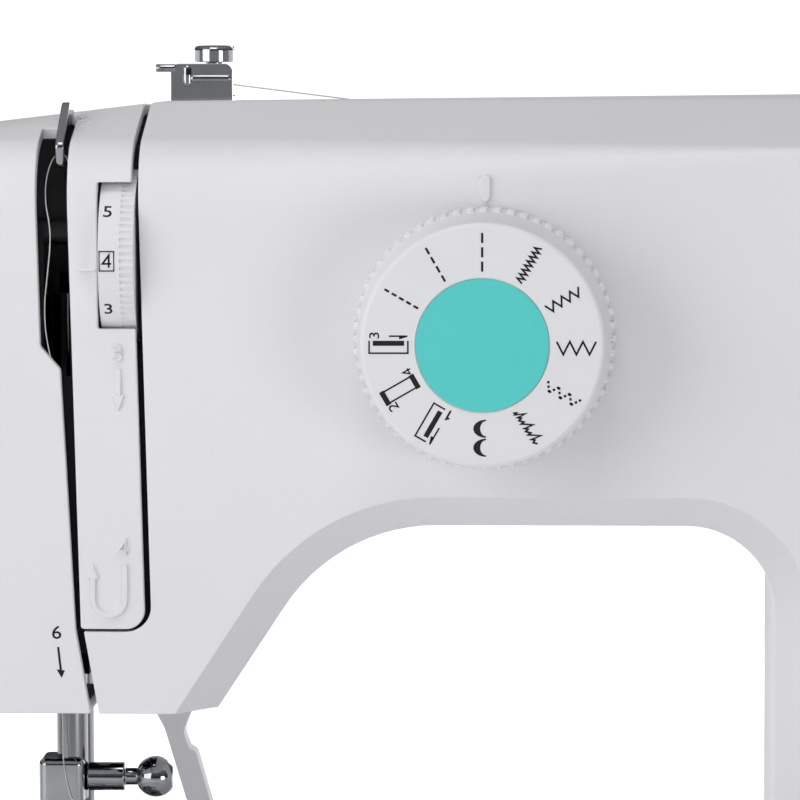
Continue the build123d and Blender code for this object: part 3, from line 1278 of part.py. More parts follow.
pieces = {
    "front_cover": front_cover, "rear_cover": rear_cover, "face_cover": face_cover,
    "tension_panel": tension_panel, "thread_channel": thread_channel, "chassis": chassis,
    "base": base, "bottom_plate": bottom_plate, "feet": feet, "free_arm": free_arm,
    "needle_plate": needle_plate, "bobbin_cover": bobbin_cover,
    "accessory_tray": accessory_tray, "tray_lid": tray_lid,
    "main_shaft": main_shaft, "crank": crank, "connecting_link": connecting_link,
    "shaft_bushes": shaft_bushes, "shaft_pulleys": shaft_pulleys, "handwheel": handwheel,
    "motor": motor, "motor_pulley": motor_pulley, "motor_belt": motor_belt, "timing_belt": timing_belt,
    "lower_shaft": lower_shaft, "hook": hook, "bobbin_case": bobbin_case, "bobbin": bobbin,
    "feed_bar": feed_bar, "feed_dog": feed_dog,
    "needle_bar_frame": needle_bar_frame, "needle_bar": needle_bar, "needle_clamp": needle_clamp,
    "clamp_screw": clamp_screw, "needle": needle,
    "presser_bar": presser_bar, "presser_spring": presser_spring, "foot_ankle": foot_ankle,
    "presser_foot": presser_foot, "presser_lifter": presser_lifter, "take_up_lever": take_up_lever,
    "pattern_dial": pattern_dial, "dial_disc": dial_disc, "pattern_cam": pattern_cam,
    "tension_dial": tension_dial, "tension_discs": tension_discs, "reverse_lever": reverse_lever,
    "power_inlet": power_inlet, "power_switch": power_switch,
    "spool_pins": spool_pins, "thread_spool": thread_spool, "winder_lever": winder_lever,
    "winder_spindle": winder_spindle, "thread_guide": thread_guide, "guide_nut": guide_nut,
    "upper_thread": upper_thread, "carry_handle": carry_handle, "lamp_lens": lamp_lens,
    "thread_cutter": thread_cutter, "cover_screws": cover_screws,
}

for name, piece in pieces.items():
    piece.part.label = name
    export_step(piece.part, f"parts/{name}.step")
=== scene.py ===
"""Looks of a domestic zigzag sewing machine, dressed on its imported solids.

Lengths are written in millimetres and turned to metres by MM. The frame is that of the solids:
+X to the operator's right, +Y away from the operator, +Z up, origin on the table.
"""
import json
from math import cos, pi, radians, sin, tau

import bmesh
import bpy
from mathutils import Matrix, Quaternion, Vector

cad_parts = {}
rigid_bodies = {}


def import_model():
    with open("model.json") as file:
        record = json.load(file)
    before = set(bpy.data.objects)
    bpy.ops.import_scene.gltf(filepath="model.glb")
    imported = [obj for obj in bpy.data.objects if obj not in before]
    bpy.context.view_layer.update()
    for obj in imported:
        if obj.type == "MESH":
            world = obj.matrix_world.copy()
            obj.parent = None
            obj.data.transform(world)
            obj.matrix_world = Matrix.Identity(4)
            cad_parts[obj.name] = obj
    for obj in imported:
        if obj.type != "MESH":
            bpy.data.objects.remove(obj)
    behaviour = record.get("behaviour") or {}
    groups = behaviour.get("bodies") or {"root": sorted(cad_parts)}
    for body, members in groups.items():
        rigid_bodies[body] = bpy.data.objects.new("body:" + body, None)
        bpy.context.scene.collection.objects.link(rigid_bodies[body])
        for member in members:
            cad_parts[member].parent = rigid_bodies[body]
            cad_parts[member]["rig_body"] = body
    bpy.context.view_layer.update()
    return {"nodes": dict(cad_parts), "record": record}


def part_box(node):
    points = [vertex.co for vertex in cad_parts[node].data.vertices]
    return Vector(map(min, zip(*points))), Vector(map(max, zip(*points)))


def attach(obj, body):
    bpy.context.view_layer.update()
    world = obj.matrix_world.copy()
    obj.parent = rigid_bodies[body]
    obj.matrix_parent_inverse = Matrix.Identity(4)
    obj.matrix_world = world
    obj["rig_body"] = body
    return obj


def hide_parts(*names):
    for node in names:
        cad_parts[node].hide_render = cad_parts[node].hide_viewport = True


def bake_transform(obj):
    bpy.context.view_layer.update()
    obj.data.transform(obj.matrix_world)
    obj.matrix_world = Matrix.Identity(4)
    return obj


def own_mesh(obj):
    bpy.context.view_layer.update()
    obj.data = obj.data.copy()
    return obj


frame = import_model()
scene = bpy.context.scene
nodes = frame["nodes"]
MM = 0.001


# Materials
def linear(code):
    """Linear colour of an sRGB hex value."""
    parts = [int(code[i:i + 2], 16) / 255 for i in (1, 3, 5)]
    return [p / 12.92 if p <= 0.04045 else ((p + 0.055) / 1.055) ** 2.4 for p in parts] + [1.0]


def add(tree, kind, inputs=None, **settings):
    """Adds a node with its settings; an input is a constant, or the output socket it is linked to."""
    node = tree.nodes.new(kind)
    for name, value in settings.items():
        setattr(node, name, value)
    for name, value in (inputs or {}).items():
        if isinstance(value, bpy.types.NodeSocket):
            tree.links.new(value, node.inputs[name])
        else:
            node.inputs[name].default_value = value
    return node


def start(name):
    """New material with an empty tree, and the object coordinates that its patterns read."""
    material = bpy.data.materials.new(name)
    material.use_nodes = True
    tree = material.node_tree
    tree.nodes.clear()
    return material, tree, add(tree, "ShaderNodeTexCoord").outputs["Object"]


def surface(tree, inputs):
    """Ends a material in one principled surface."""
    shader = add(tree, "ShaderNodeBsdfPrincipled", inputs)
    add(tree, "ShaderNodeOutputMaterial", {"Surface": shader.outputs["BSDF"]})


def moulded(name, dark, light, grain_mm, depth_mm, rough, ior):
    """Moulded plastic or rubber: a tool grain in the sheen and a slow drift of tone over the piece.

    A real tool's grain is under 0.2 mm, so it is drawn coarser here to show.
    """
    drift_mm = 45
    material, tree, place = start(name)
    grain = add(tree, "ShaderNodeTexNoise",
                {"Vector": place, "Scale": 1 / (grain_mm * MM), "Detail": 2.0})
    drift = add(tree, "ShaderNodeTexNoise",
                {"Vector": place, "Scale": 1 / (drift_mm * MM), "Detail": 1.0})
    tone = add(tree, "ShaderNodeMix",
               {"Factor": drift.outputs["Fac"], "A": linear(dark), "B": linear(light)}, data_type="RGBA")
    sheen = add(tree, "ShaderNodeMapRange",
                {"Value": drift.outputs["Fac"], "To Min": rough[0], "To Max": rough[1]})
    bump = add(tree, "ShaderNodeBump",
               {"Height": grain.outputs["Fac"], "Strength": 0.35, "Distance": depth_mm * MM})
    surface(tree, {"Base Color": tone.outputs["Result"], "Roughness": sheen.outputs["Result"],
                   "IOR": ior, "Normal": bump.outputs["Normal"]})
    return material


def metal(name, dark, light, streak_mm, depth_mm, rough):
    """Metal with the marks of its finishing: streaks, polish haze or a cast grain.

    Their size is given along X, Y and Z, and the finest are drawn coarse enough to show.
    """
    material, tree, place = start(name)
    stretch = add(tree, "ShaderNodeMapping",
                  {"Vector": place, "Scale": [1 / (size * MM) for size in streak_mm]})
    finish = add(tree, "ShaderNodeTexNoise",
                 {"Vector": stretch.outputs["Vector"], "Scale": 1.0, "Detail": 3.0})
    tone = add(tree, "ShaderNodeMix",
               {"Factor": finish.outputs["Fac"], "A": linear(dark), "B": linear(light)}, data_type="RGBA")
    sheen = add(tree, "ShaderNodeMapRange",
                {"Value": finish.outputs["Fac"], "To Min": rough[0], "To Max": rough[1]})
    bump = add(tree, "ShaderNodeBump",
               {"Height": finish.outputs["Fac"], "Strength": 0.3, "Distance": depth_mm * MM})
    surface(tree, {"Base Color": tone.outputs["Result"], "Metallic": 1.0,
                   "Roughness": sheen.outputs["Result"], "Normal": bump.outputs["Normal"]})
    return material


def printed(name, dark, light, speck_mm, detail, rough, ior):
    """Printed film: a flat colour with the fine specks of its print, drawn coarse enough to show."""
    material, tree, place = start(name)
    specks = add(tree, "ShaderNodeTexNoise",
                 {"Vector": place, "Scale": 1 / (speck_mm * MM), "Detail": detail})
    tone = add(tree, "ShaderNodeMix",
               {"Factor": specks.outputs["Fac"], "A": linear(dark), "B": linear(light)}, data_type="RGBA")
    surface(tree, {"Base Color": tone.outputs["Result"], "Roughness": rough, "IOR": ior})
    return material


def clear_moulded(name, tint, flow_mm, rough, ior):
    """Plastic moulded clear, with the flow lines of its mould in the gloss."""
    material, tree, place = start(name)
    flow = add(tree, "ShaderNodeTexNoise",
               {"Vector": place, "Scale": 1 / (flow_mm * MM), "Detail": 1.0})
    sheen = add(tree, "ShaderNodeMapRange",
                {"Value": flow.outputs["Fac"], "To Min": rough[0], "To Max": rough[1]})
    surface(tree, {"Base Color": linear(tint), "Roughness": sheen.outputs["Result"], "IOR": ior,
                   "Transmission Weight": 0.92})
    return material


def spun(name, dark, light, fuzz_mm, depth_mm, rough, ior):
    """Spun thread: a fuzzy tone and surface, with a soft sheen."""
    material, tree, place = start(name)
    fuzz = add(tree, "ShaderNodeTexNoise",
               {"Vector": place, "Scale": 1 / (fuzz_mm * MM), "Detail": 3.0})
    tone = add(tree, "ShaderNodeMix",
               {"Factor": fuzz.outputs["Fac"], "A": linear(dark), "B": linear(light)}, data_type="RGBA")
    bump = add(tree, "ShaderNodeBump",
               {"Height": fuzz.outputs["Fac"], "Strength": 0.4, "Distance": depth_mm * MM})
    surface(tree, {"Base Color": tone.outputs["Result"], "Roughness": rough, "IOR": ior,
                   "Sheen Weight": 0.3, "Normal": bump.outputs["Normal"]})
    return material


# ABS moulded against a spark-eroded tool: an even, slightly cool white with a soft satin sheen
white_abs = moulded("moulded_white_abs", "#E4E4E8", "#E8E8EB",
                    grain_mm=0.6, depth_mm=0.006, rough=(0.5, 0.56), ior=1.54)
# ABS in black for the hidden thread channel, near-black and matt: painted shade that makes the slits read
# as black
slit_shade_black_abs = moulded("black_abs_painted_slit_shade", "#040405", "#070809",
                    grain_mm=0.6, depth_mm=0.01, rough=(0.85, 0.92), ior=1.46)
# acetal: the waxy mid grey of gears and small levers
grey_acetal = moulded("moulded_grey_acetal", "#84888C", "#8E9296",
                      grain_mm=0.7, depth_mm=0.01, rough=(0.4, 0.5), ior=1.48)
# nitrile rubber: dull and nearly black, with a coarse grain
nitrile_rubber = moulded("moulded_nitrile_rubber", "#121212", "#1B1B1B",
                         grain_mm=0.9, depth_mm=0.04, rough=(0.75, 0.85), ior=1.52)
# oven-dried enamel on the motor can: dark with a soft gloss
motor_enamel = moulded("dark_motor_enamel", "#18191B", "#212225",
                       grain_mm=1.4, depth_mm=0.02, rough=(0.3, 0.4), ior=1.5)
# chromium plate, buffed: a mirror with a faint haze, its colour darker than real chrome as painted shade
# in its reflections
chrome = metal("polished_chrome_plate", "#989A9E", "#AAACB0",
               streak_mm=(6, 6, 6), depth_mm=0.0005, rough=(0.04, 0.09))
# steel bars, ground and polished lengthwise: long streaks in a soft mirror, the colour darker than real
# steel as painted shade in its reflections
ground_steel = metal("ground_steel", "#77787B", "#939497",
                     streak_mm=(0.7, 0.7, 30), depth_mm=0.0003, rough=(0.07, 0.16))
# aluminium, die cast: a dull grey skin with a fine pebble
cast_aluminium = metal("die_cast_aluminium", "#8F9194", "#A9ABAE",
                       streak_mm=(0.8, 0.8, 0.8), depth_mm=0.03, rough=(0.45, 0.6))
# aluminium, die cast and dyed black: a near-black dull skin with the same pebble
blackened_aluminium = metal("blackened_cast_aluminium", "#101113", "#1A1B1D",
                            streak_mm=(0.8, 0.8, 0.8), depth_mm=0.03, rough=(0.55, 0.7))
# sintered bronze: porous, brown and oily
sintered_bronze = metal("sintered_bronze", "#8A6A3A", "#B08C52",
                        streak_mm=(0.5, 0.5, 0.5), depth_mm=0.01, rough=(0.35, 0.5))
# screen-printed film on the dial: flat turquoise with a very fine print grain
turquoise_film = printed("screen_printed_film", "#52CECB", "#5CD4D2",
                         speck_mm=0.5, detail=1.0, rough=0.45, ior=1.5)
# pad-printed ink: a near-black film, a little duller than the plastic under it
printed_ink = printed("pad_printed_ink", "#060A0B", "#0D1213",
                      speck_mm=0.4, detail=2.0, rough=0.7, ior=1.45)
# polycarbonate, moulded clear: glassy, with faint flow lines in its gloss
clear_polycarbonate = clear_moulded("clear_polycarbonate", "#EEF4F5",
                                    flow_mm=9, rough=(0.02, 0.1), ior=1.58)
# polyester sewing thread, spun: white, fuzzy, with a soft sheen along its plies
spun_polyester = spun("spun_polyester_thread", "#DCDCD8", "#F2F2EF",
                      fuzz_mm=0.3, depth_mm=0.05, rough=0.75, ior=1.5)

finishes = {
    "white_abs": white_abs, "black_plastic": slit_shade_black_abs, "grey_plastic": grey_acetal,
    "clear_plastic": clear_polycarbonate, "turquoise_film": turquoise_film, "chrome": chrome,
    "steel": ground_steel, "cast_aluminium": cast_aluminium, "bronze": sintered_bronze,
    "rubber": nitrile_rubber, "motor_case": motor_enamel, "thread": spun_polyester,
}
# the spool under its thread is a plastic core, and the frame of the needle bar is dyed black
own_finishes = {"thread_spool": grey_acetal, "needle_bar_frame": blackened_aluminium}
slot_of = {part["node"]: part["material_slot"] for part in frame["record"]["subparts"]}
for name, node in nodes.items():
    node.data.materials.clear()
    node.data.materials.append(own_finishes.get(name, finishes[slot_of[name]]))


# Pieces
def placed(name, data):
    """New object in the scene that shows a mesh, a curve, a light or a camera."""
    thing = bpy.data.objects.new(name, data)
    scene.collection.objects.link(thing)
    return thing


def settled(carrier):
    """Plain mesh of all that an object shows; the object itself goes."""
    bpy.context.view_layer.update()
    shown = carrier.evaluated_get(bpy.context.evaluated_depsgraph_get())
    mesh = bpy.data.meshes.new_from_object(shown)
    bpy.data.objects.remove(carrier)
    return mesh


def new_piece(name, mesh, material, body):
    """Puts a finished mesh into the scene, riding on a body if one is named."""
    piece = placed(name, mesh)
    mesh.materials.clear()
    mesh.materials.append(material)
    if body:
        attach(piece, body)
    return piece


def changed(name, mesh, kind, settings):
    """The mesh after one modifier."""
    carrier = placed(name, mesh)
    modifier = carrier.modifiers.new(name, kind)
    for key, value in settings.items():
        setattr(modifier, key, value)
    return settled(carrier)


def middle(node):
    """Middle of a node's box, in metres."""
    return [(a + b) / 2 for a, b in zip(*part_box(node))]


# Edges
SAME_POINT = 0.03 * MM        # points closer than this are one
SAME_FACE = radians(0.6)      # faces that lean less than this are one
ROUNDED_EDGE = radians(34)    # edges that turn more than this are rounded
SHARP_EDGE = radians(50)      # edges that still turn more than this look sharp


def eased(node, radius):
    """The piece with its moulded or tumbled edges: each sharp edge of the solid has a small radius."""
    shape = bmesh.new()
    shape.from_mesh(nodes[node].data)
    bmesh.ops.remove_doubles(shape, verts=shape.verts, dist=SAME_POINT)
    bmesh.ops.dissolve_limit(shape, angle_limit=SAME_FACE, verts=shape.verts, edges=shape.edges)
    mesh = bpy.data.meshes.new(node + "_raw")
    shape.to_mesh(mesh)
    shape.free()
    mesh = changed(node + "_edge", mesh, "BEVEL", {
        "width": radius * MM, "segments": 2, "limit_method": "ANGLE", "angle_limit": ROUNDED_EDGE,
        "use_clamp_overlap": False, "miter_outer": "MITER_ARC"})
    low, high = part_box(node)
    for vertex in mesh.vertices:
        vertex.co = [min(max(c, a), b) for c, a, b in zip(vertex.co, low, high)]
    mesh.shade_smooth()
    done = changed(node + "_soften", mesh, "WEIGHTED_NORMAL", {"keep_sharp": True})
    done.set_sharp_from_angle(angle=SHARP_EDGE)
    slot = slot_of[node]
    piece = new_piece(node + "_finished", done, finishes[slot], nodes[node]["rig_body"])
    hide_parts(node)
    return piece


# radius of each piece's edges
edge_radii = {
    "face_cover": 0.35, "front_cover": 0.2, "tension_panel": 0.4, "base": 0.3, "free_arm": 0.2,
    "handwheel": 0.4, "carry_handle": 1.2, "presser_lifter": 0.3, "reverse_lever": 0.3,
    "pattern_dial": 0.45, "tension_dial": 0.08, "needle_clamp": 0.25, "clamp_screw": 0.35,
    "take_up_lever": 0.3, "thread_guide": 0.1, "guide_nut": 0.2, "thread_cutter": 0.4,
    "power_inlet": 0.25, "power_switch": 0.25, "feet": 0.8, "presser_foot": 0.3, "foot_ankle": 0.4,
    "needle_plate": 0.2, "bobbin_cover": 0.25, "spool_pins": 0.4, "winder_spindle": 0.4,
    "needle_bar": 0.2, "cover_screws": 0.15, "lamp_lens": 0.3,
}
finished = {node: eased(node, radius) for node, radius in edge_radii.items()}

# the grip tabs of the stitch dial are low and soft: what stands out past its rim is pressed in by half
dial_x, _, dial_z = (place / MM for place in middle("pattern_dial"))
dial_rim = 28.5 * MM
tab_press = 0.5
for vertex in finished["pattern_dial"].data.vertices:
    spoke = Vector((vertex.co.x - dial_x * MM, 0, vertex.co.z - dial_z * MM))
    if spoke.length > dial_rim:
        vertex.co -= spoke.normalized() * (spoke.length - dial_rim) * tab_press

# Printed and raised marks
INK = 0.04           # how far a print stands proud
MITRE_LIMIT = 3.2    # how far a sharp corner may run out, in half widths of its line


def seat(origin, right, up, proud, sink=0.02):
    """Place of a mark on a surface: its own X runs right, its Y up, and its depth from sink to proud."""
    right, up = Vector(right).normalized(), Vector(up).normalized()
    out = right.cross(up)
    foot = Vector(origin) * MM - out * sink * MM
    columns = (right * MM, up * MM, out * (proud + sink) * MM, foot)
    return Matrix([[column[row] for column in columns] for row in range(3)] + [[0, 0, 0, 1]])


def shifted(place, x, y):
    """The place moved along its own X and Y."""
    return place @ Matrix.Translation((x, y, 0))


def plate(shape, place, outline, crown=None):
    """Flat mark filled inside a closed outline; a smaller crown on top gives it sloping sides."""
    layers = (outline, crown or outline)
    rings = [[shape.verts.new(place @ Vector((x, y, depth))) for x, y in layers[depth]]
             for depth in (0, 1)]
    shape.faces.new(rings[1])
    shape.faces.new(rings[0][::-1])
    for i in range(len(outline)):
        j = (i + 1) % len(outline)
        shape.faces.new((rings[0][i], rings[0][j], rings[1][j], rings[1][i]))


def mitre(before, after, run):
    """Step from a corner to where both of its sides, moved left by a run, meet again."""
    before, after = before.normalized(), after.normalized()
    across = Vector((-before.y - after.y, before.x + after.x)).normalized()
    square = across.dot(Vector((-before.y, before.x)))
    return across * (run / max(square, 1 / MITRE_LIMIT))


def inset(outline, run):
    """The crown of a raised mark: its outline moved inwards by a run."""
    corners = [Vector(corner) for corner in outline]
    following = corners[1:] + corners[:1]
    return [corner + mitre(corner - corners[i - 1], following[i] - corner, run)
            for i, corner in enumerate(corners)]


def line(shape, place, points, width, closed=False, slope=0.0):
    """Line of a given width through points, with mitred corners and sides that slope in by a run."""
    points = [Vector(p) for p in points]
    count = len(points)
    sides = []
    for i, point in enumerate(points):
        before = point - points[i - 1] if i or closed else points[1] - point
        after = points[(i + 1) % count] - point if i < count - 1 or closed else point - points[i - 1]
        foot = mitre(before, after, width / 2)
        crown = foot * (1 - 2 * slope / width)
        sides.append((point + foot, point - foot, point + crown, point - crown))
    for i in range(count if closed else count - 1):
        a, b = sides[i], sides[(i + 1) % count]
        plate(shape, place, [a[1], b[1], b[0], a[0]], [a[3], b[3], b[2], a[2]])


def dashes(points, dash, gap):
    """Cuts a polyline into dashes, keeping its corners out of the gaps."""
    cut = []
    for a, b in zip(points, points[1:]):
        a, b = Vector(a), Vector(b)
        count = max(1, round(((b - a).length + gap) / (dash + gap)))
        pitch = ((b - a).length + gap) / count
        along = (b - a).normalized()
        cut += [(a + along * pitch * i, a + along * (pitch * (i + 1) - gap)) for i in range(count)]
    return cut


def digits(shape, place, text, height, broad=1.15):
    """Figures of a given height, drawn a little bold and broad, centred on the place."""
    half_depth = 0.5
    curve = bpy.data.curves.new("figures", "FONT")
    curve.body = text
    curve.extrude = half_depth
    curve.offset = 0.006
    curve.resolution_u = 4
    mesh = settled(placed("figures", curve))
    low, high = ([end(v.co[k] for v in mesh.vertices) for k in range(2)] for end in (min, max))
    scale = height / (high[1] - low[1])
    centre = Vector(((low[0] + high[0]) / 2, (low[1] + high[1]) / 2, -half_depth))
    for vertex in mesh.vertices:
        local = vertex.co - centre
        vertex.co = place @ Vector((local.x * scale * broad, local.y * scale, local.z))
    shape.from_mesh(mesh)
    bpy.data.meshes.remove(mesh)


def arc(x, y, radius, first, last, steps=14):
    """Points on an arc between two angles in degrees."""
    angles = [radians(first + (last - first) * i / steps) for i in range(steps + 1)]
    return [(x + radius * cos(a), y + radius * sin(a)) for a in angles]


# figures of one stroke, one unit high about their middle
strokes = {
    "2": arc(0, 0.24, 0.25, 165, -38) + [(-0.27, -0.47), (0.31, -0.47)],
    "3": arc(0, 0.24, 0.22, 150, -80, 11) + arc(0, -0.23, 0.26, 80, -150),
    "4": [(0.18, -0.5), (0.18, 0.46), (-0.32, -0.2), (0.38, -0.2)],
}


def stroked(shape, place, figure, height, width, slope=0.0):
    """Figure drawn in one stroke, centred on the place."""
    line(shape, place, [(x * height, y * height) for x, y in strokes[figure]], width, slope=slope)


def marks(name, shape, material, body):
    """Ends a group of marks in one mesh of closed shapes."""
    bmesh.ops.recalc_face_normals(shape, faces=shape.faces)
    mesh = bpy.data.meshes.new(name)
    shape.to_mesh(mesh)
    shape.free()
    return new_piece(name, mesh, material, body)


# Stitch pictures on the pattern dial, each drawn upright as it stands under the pointer
dial_face_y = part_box("pattern_dial")[0].y / MM
pictures = bmesh.new()


def picture(clock):
    """Place on the dial face at an angle clockwise from the top: X to the picture's right, Y outwards."""
    a = radians(clock)
    return seat((dial_x, dial_face_y, dial_z), (cos(a), 0, -sin(a)), (sin(a), 0, cos(a)), INK)


def zigzag(foot, pitch, count, left, right):
    """Corners of a zigzag that climbs from its foot, between two sides."""
    return [(right if i % 2 else left, foot + pitch * i) for i in range(count)]


# straight stitches in three lengths
straight_foot, straight_head = 16.0, 24.4
for clock, dash, gap in ((0, 2.2, 0.9), (330, 1.55, 0.75), (300, 1.17, 0.65)):
    for ends in dashes([(0, straight_foot), (0, straight_head)], dash, gap):
        line(pictures, picture(clock), ends, 0.5)

# zigzags in three widths, one in short stitches, and a blind hem
line(pictures, picture(30), zigzag(15.9, 0.54, 17, 0.75, -0.75), 0.4)
line(pictures, picture(60), zigzag(16.0, 1.04, 9, -0.7, 1.25), 0.42)
line(pictures, picture(90), zigzag(16.1, 1.42, 7, -0.85, 1.95), 0.42)
for ends in dashes(zigzag(16.2, 1.37, 7, -0.5, 1.6), 0.55, 0.42):
    line(pictures, picture(120), ends, 0.52)
blind_hem = [(1.6, 16.1), (0.9, 16.4), (1.4, 16.6), (-0.7, 17.5), (1.2, 17.4), (0.6, 17.9), (1.3, 18.1),
             (0.5, 18.9), (1.2, 19.0), (-0.9, 20.4), (1.1, 20.2), (0.5, 20.7), (1.2, 20.9), (0.4, 21.7),
             (1.1, 21.8), (-1.2, 23.3), (1.0, 23.0), (0.4, 23.5), (1.0, 23.8), (0.3, 24.5)]
line(pictures, picture(150), blind_hem, 0.4)

# scallops: two crescents, each between an outer and an inner bow
crescent_x = -0.8
bow = [pi * (i / 14 - 0.5) for i in range(15)]
for crescent_y in (18.1, 22.25):
    outer, inner = ([(crescent_x + wide * cos(a), crescent_y + tall * sin(a)) for a in bow]
                    for wide, tall in ((2.75, 1.98), (1.25, 1.65)))
    for corners in zip(outer, outer[1:], inner[1:], inner):
        plate(pictures, picture(180), corners)

# buttonhole in three steps: open frame with a bar, closed frame with two bars, open frame the other way
rail, bar, end_bar, shaft = 0.36, 1.1, 1.15, 0.34
first_step, second_step, third_step = picture(210), picture(240), picture(270)
line(pictures, first_step, [(0.0, 16.1), (2.8, 16.1), (2.8, 24.3), (0.1, 24.3)], rail)
line(pictures, first_step, [(0.7, 17.0), (0.7, 23.4)], bar)
line(pictures, first_step, [(-0.9, 20.2), (-0.9, 23.4)], shaft)
plate(pictures, first_step, [(-0.2, 22.6), (-0.73, 24.4), (-1.07, 24.4), (-1.07, 22.6)])
for x in (1.9, -0.8):
    line(pictures, second_step, [(x, 17.0), (x, 23.6)], rail)
for y in (16.6, 24.0):
    line(pictures, second_step, [(-1.15, y), (2.2, y)], end_bar)
line(pictures, third_step, [(1.0, 16.1), (-1.7, 16.1), (-1.7, 24.5), (1.0, 24.5)], rail)
line(pictures, third_step, [(0.45, 16.9), (0.45, 23.7)], bar)
line(pictures, third_step, [(2.0, 20.2), (2.0, 17.2)], shaft)
plate(pictures, third_step, [(1.3, 18.0), (1.83, 16.2), (2.17, 16.2), (2.17, 18.0)])

# the steps are numbered one to four, and the second frame serves twice
step_height = 2.2
line(pictures, first_step, [(-1.75, 17.3), (-1.2, 17.8), (-1.2, 15.7)], 0.42)
stroked(pictures, shifted(second_step, 3.1, 17.0), "4", 1.9, 0.3)
digits(pictures, shifted(second_step, -2.0, 23.4), "2", step_height)
digits(pictures, shifted(third_step, 2.15, 23.4), "3", step_height)
marks("dial_stitch_pictures", pictures, printed_ink, "pattern_dial")

# Figures round the tension dial, nought to nine, with a frame round the one that stands in front
low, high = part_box("tension_dial")
_, wheel_y, wheel_z = (place / MM for place in middle("tension_dial"))
wheel_radius = (high.z - low.z) / 2 / MM
figure_x = low.x / MM + 1.95
figure_height, figure_pitch, front_figure = 2.8, 34, 4
half_wide, half_tall = 1.62, 2.15
figures = bmesh.new()
for figure in range(10):
    turn = radians(figure_pitch * (figure - front_figure))
    rim = (figure_x, wheel_y - wheel_radius * cos(turn), wheel_z + wheel_radius * sin(turn))
    place = seat(rim, (1, 0, 0), (0, sin(turn), cos(turn)), proud=0.03, sink=0.09)
    if figure != front_figure:
        digits(figures, place, str(figure), figure_height, 1.2)
    else:
        stroked(figures, place, str(figure), figure_height, 0.42)
        corners = [(-half_wide, -half_tall), (half_wide, -half_tall), (half_wide, half_tall),
                   (-half_wide, half_tall)]
        line(figures, place, corners, 0.24, closed=True)
marks("tension_figures", figures, printed_ink, "tension_dial")

# Threading path on the panel, raised in the moulding: two numbered arrows, a bar and a figure on the roof
panel_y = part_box("tension_panel")[0].y / MM
raised = bmesh.new()
place = seat((0, panel_y, 0), (1, 0, 0), (0, 0, 1), proud=0.7, sink=0.2)
stroked(raised, shifted(place, -102.6, 239.7), "3", 3.7, 0.85, 0.3)
stroked(raised, shifted(place, -101.6, 196.0), "4", 3.3, 0.75, 0.28)

half_shaft, half_head, run = 0.72, 1.5, 0.3
down_x, down_top, down_neck, down_tip = -102.3, 236.1, 230.3, 226.3
straight = [(down_x - half_shaft, down_top), (down_x - half_shaft, down_neck),
            (down_x - half_head, down_neck), (down_x, down_tip), (down_x + half_head, down_neck),
            (down_x + half_shaft, down_neck), (down_x + half_shaft, down_top)]
plate(raised, place, straight, inset(straight, run))

bend_x, bend_z, bend = -104.75, 184.4, 3.6
right_x, right_top = bend_x + bend, 192.4
left_x, left_neck, left_tip = bend_x - bend, 188.9, 192.8
returning = arc(bend_x, bend_z, bend + half_shaft, 180, 360, 16)
returning += [(right_x + half_shaft, right_top), (right_x - half_shaft, right_top)]
returning += arc(bend_x, bend_z, bend - half_shaft, 360, 180, 16)
returning += [(left_x + half_shaft, left_neck), (left_x + half_head, left_neck), (left_x, left_tip),
              (left_x - half_head, left_neck), (left_x - half_shaft, left_neck)]
plate(raised, place, returning, inset(returning, run))

line(raised, place, [(-111.2, 258.0), (-107.2, 258.0)], 0.9, slope=0.35)
bpy.context.view_layer.update()
above_roof = Vector((-111.9, 4.4, 400)) * MM
_, spot, normal, _ = finished["tension_panel"].ray_cast(above_roof, Vector((0, 0, -1)))
right = Vector((1, 0, 0)) - normal * normal.x
roof = seat(spot / MM, right, normal.cross(right), proud=0.5, sink=0.2)
stroked(raised, roof, "2", 4.8, 0.8, 0.25)
marks("raised_threading_path", raised, white_abs, "frame")

# Printed figure and arrow where the thread leaves for the needle
arrow = bmesh.new()
place = seat((0, panel_y, 0), (1, 0, 0), (0, 0, 1), INK)
digits(arrow, shifted(place, -116.6, 176.9), "6", 3.0)
line(arrow, place, [(-116.3, 173.6), (-115.75, 168.3)], 0.5)
plate(arrow, place, [(-116.7, 168.5), (-115.55, 166.6), (-114.85, 168.3)])
marks("printed_threading_arrow", arrow, printed_ink, "frame")

# Ribs pressed out of the thread guide's sheet, which catch the light as bright bars: one lies, one stands
rib_y, rib_flatness = 27.0, 0.6
near_middle = 1e-6
ribs = bmesh.new()
for lying, rib_x, rib_z, half_length, radius in ((True, -85.2, 299.0, 3.9, 0.85),
                                                 (False, -90.6, 299.6, 1.5, 1.0)):
    ball = bmesh.ops.create_uvsphere(ribs, u_segments=24, v_segments=16, radius=radius * MM)["verts"]
    for vertex in ball:
        across, deep, along = vertex.co
        if abs(along) > near_middle:
            along += half_length * MM if along > 0 else -half_length * MM
        across, along = (along, across) if lying else (across, along)
        vertex.co = (rib_x * MM + across, rib_y * MM + deep * rib_flatness, rib_z * MM + along)
# a ball's points and faces come in no fixed order, so they are put in one
for parts, spot_of in ((ribs.verts, lambda part: part.co),
                       (ribs.faces, bmesh.types.BMFace.calc_center_median)):
    for i, part in enumerate(sorted(parts, key=lambda part: tuple(spot_of(part)))):
        part.index = i
    parts.sort()
marks("guide_pressed_ribs", ribs, chrome, "frame").data.shade_smooth()


# Threads and repeated details, grown by nodes
def new_tree(name, sizes, counts=()):
    """Tree of geometry nodes with a geometry input, and named inputs for its sizes and whole counts."""
    tree = bpy.data.node_groups.new(name, "GeometryNodeTree")
    sockets = {"Geometry": "NodeSocketGeometry", **dict.fromkeys(sizes, "NodeSocketFloat"),
               **dict.fromkeys(counts, "NodeSocketInt")}
    for socket, kind in sockets.items():
        tree.interface.new_socket(socket, in_out="INPUT", socket_type=kind)
    tree.interface.new_socket("Geometry", in_out="OUTPUT", socket_type="NodeSocketGeometry")
    return tree, add(tree, "NodeGroupInput").outputs


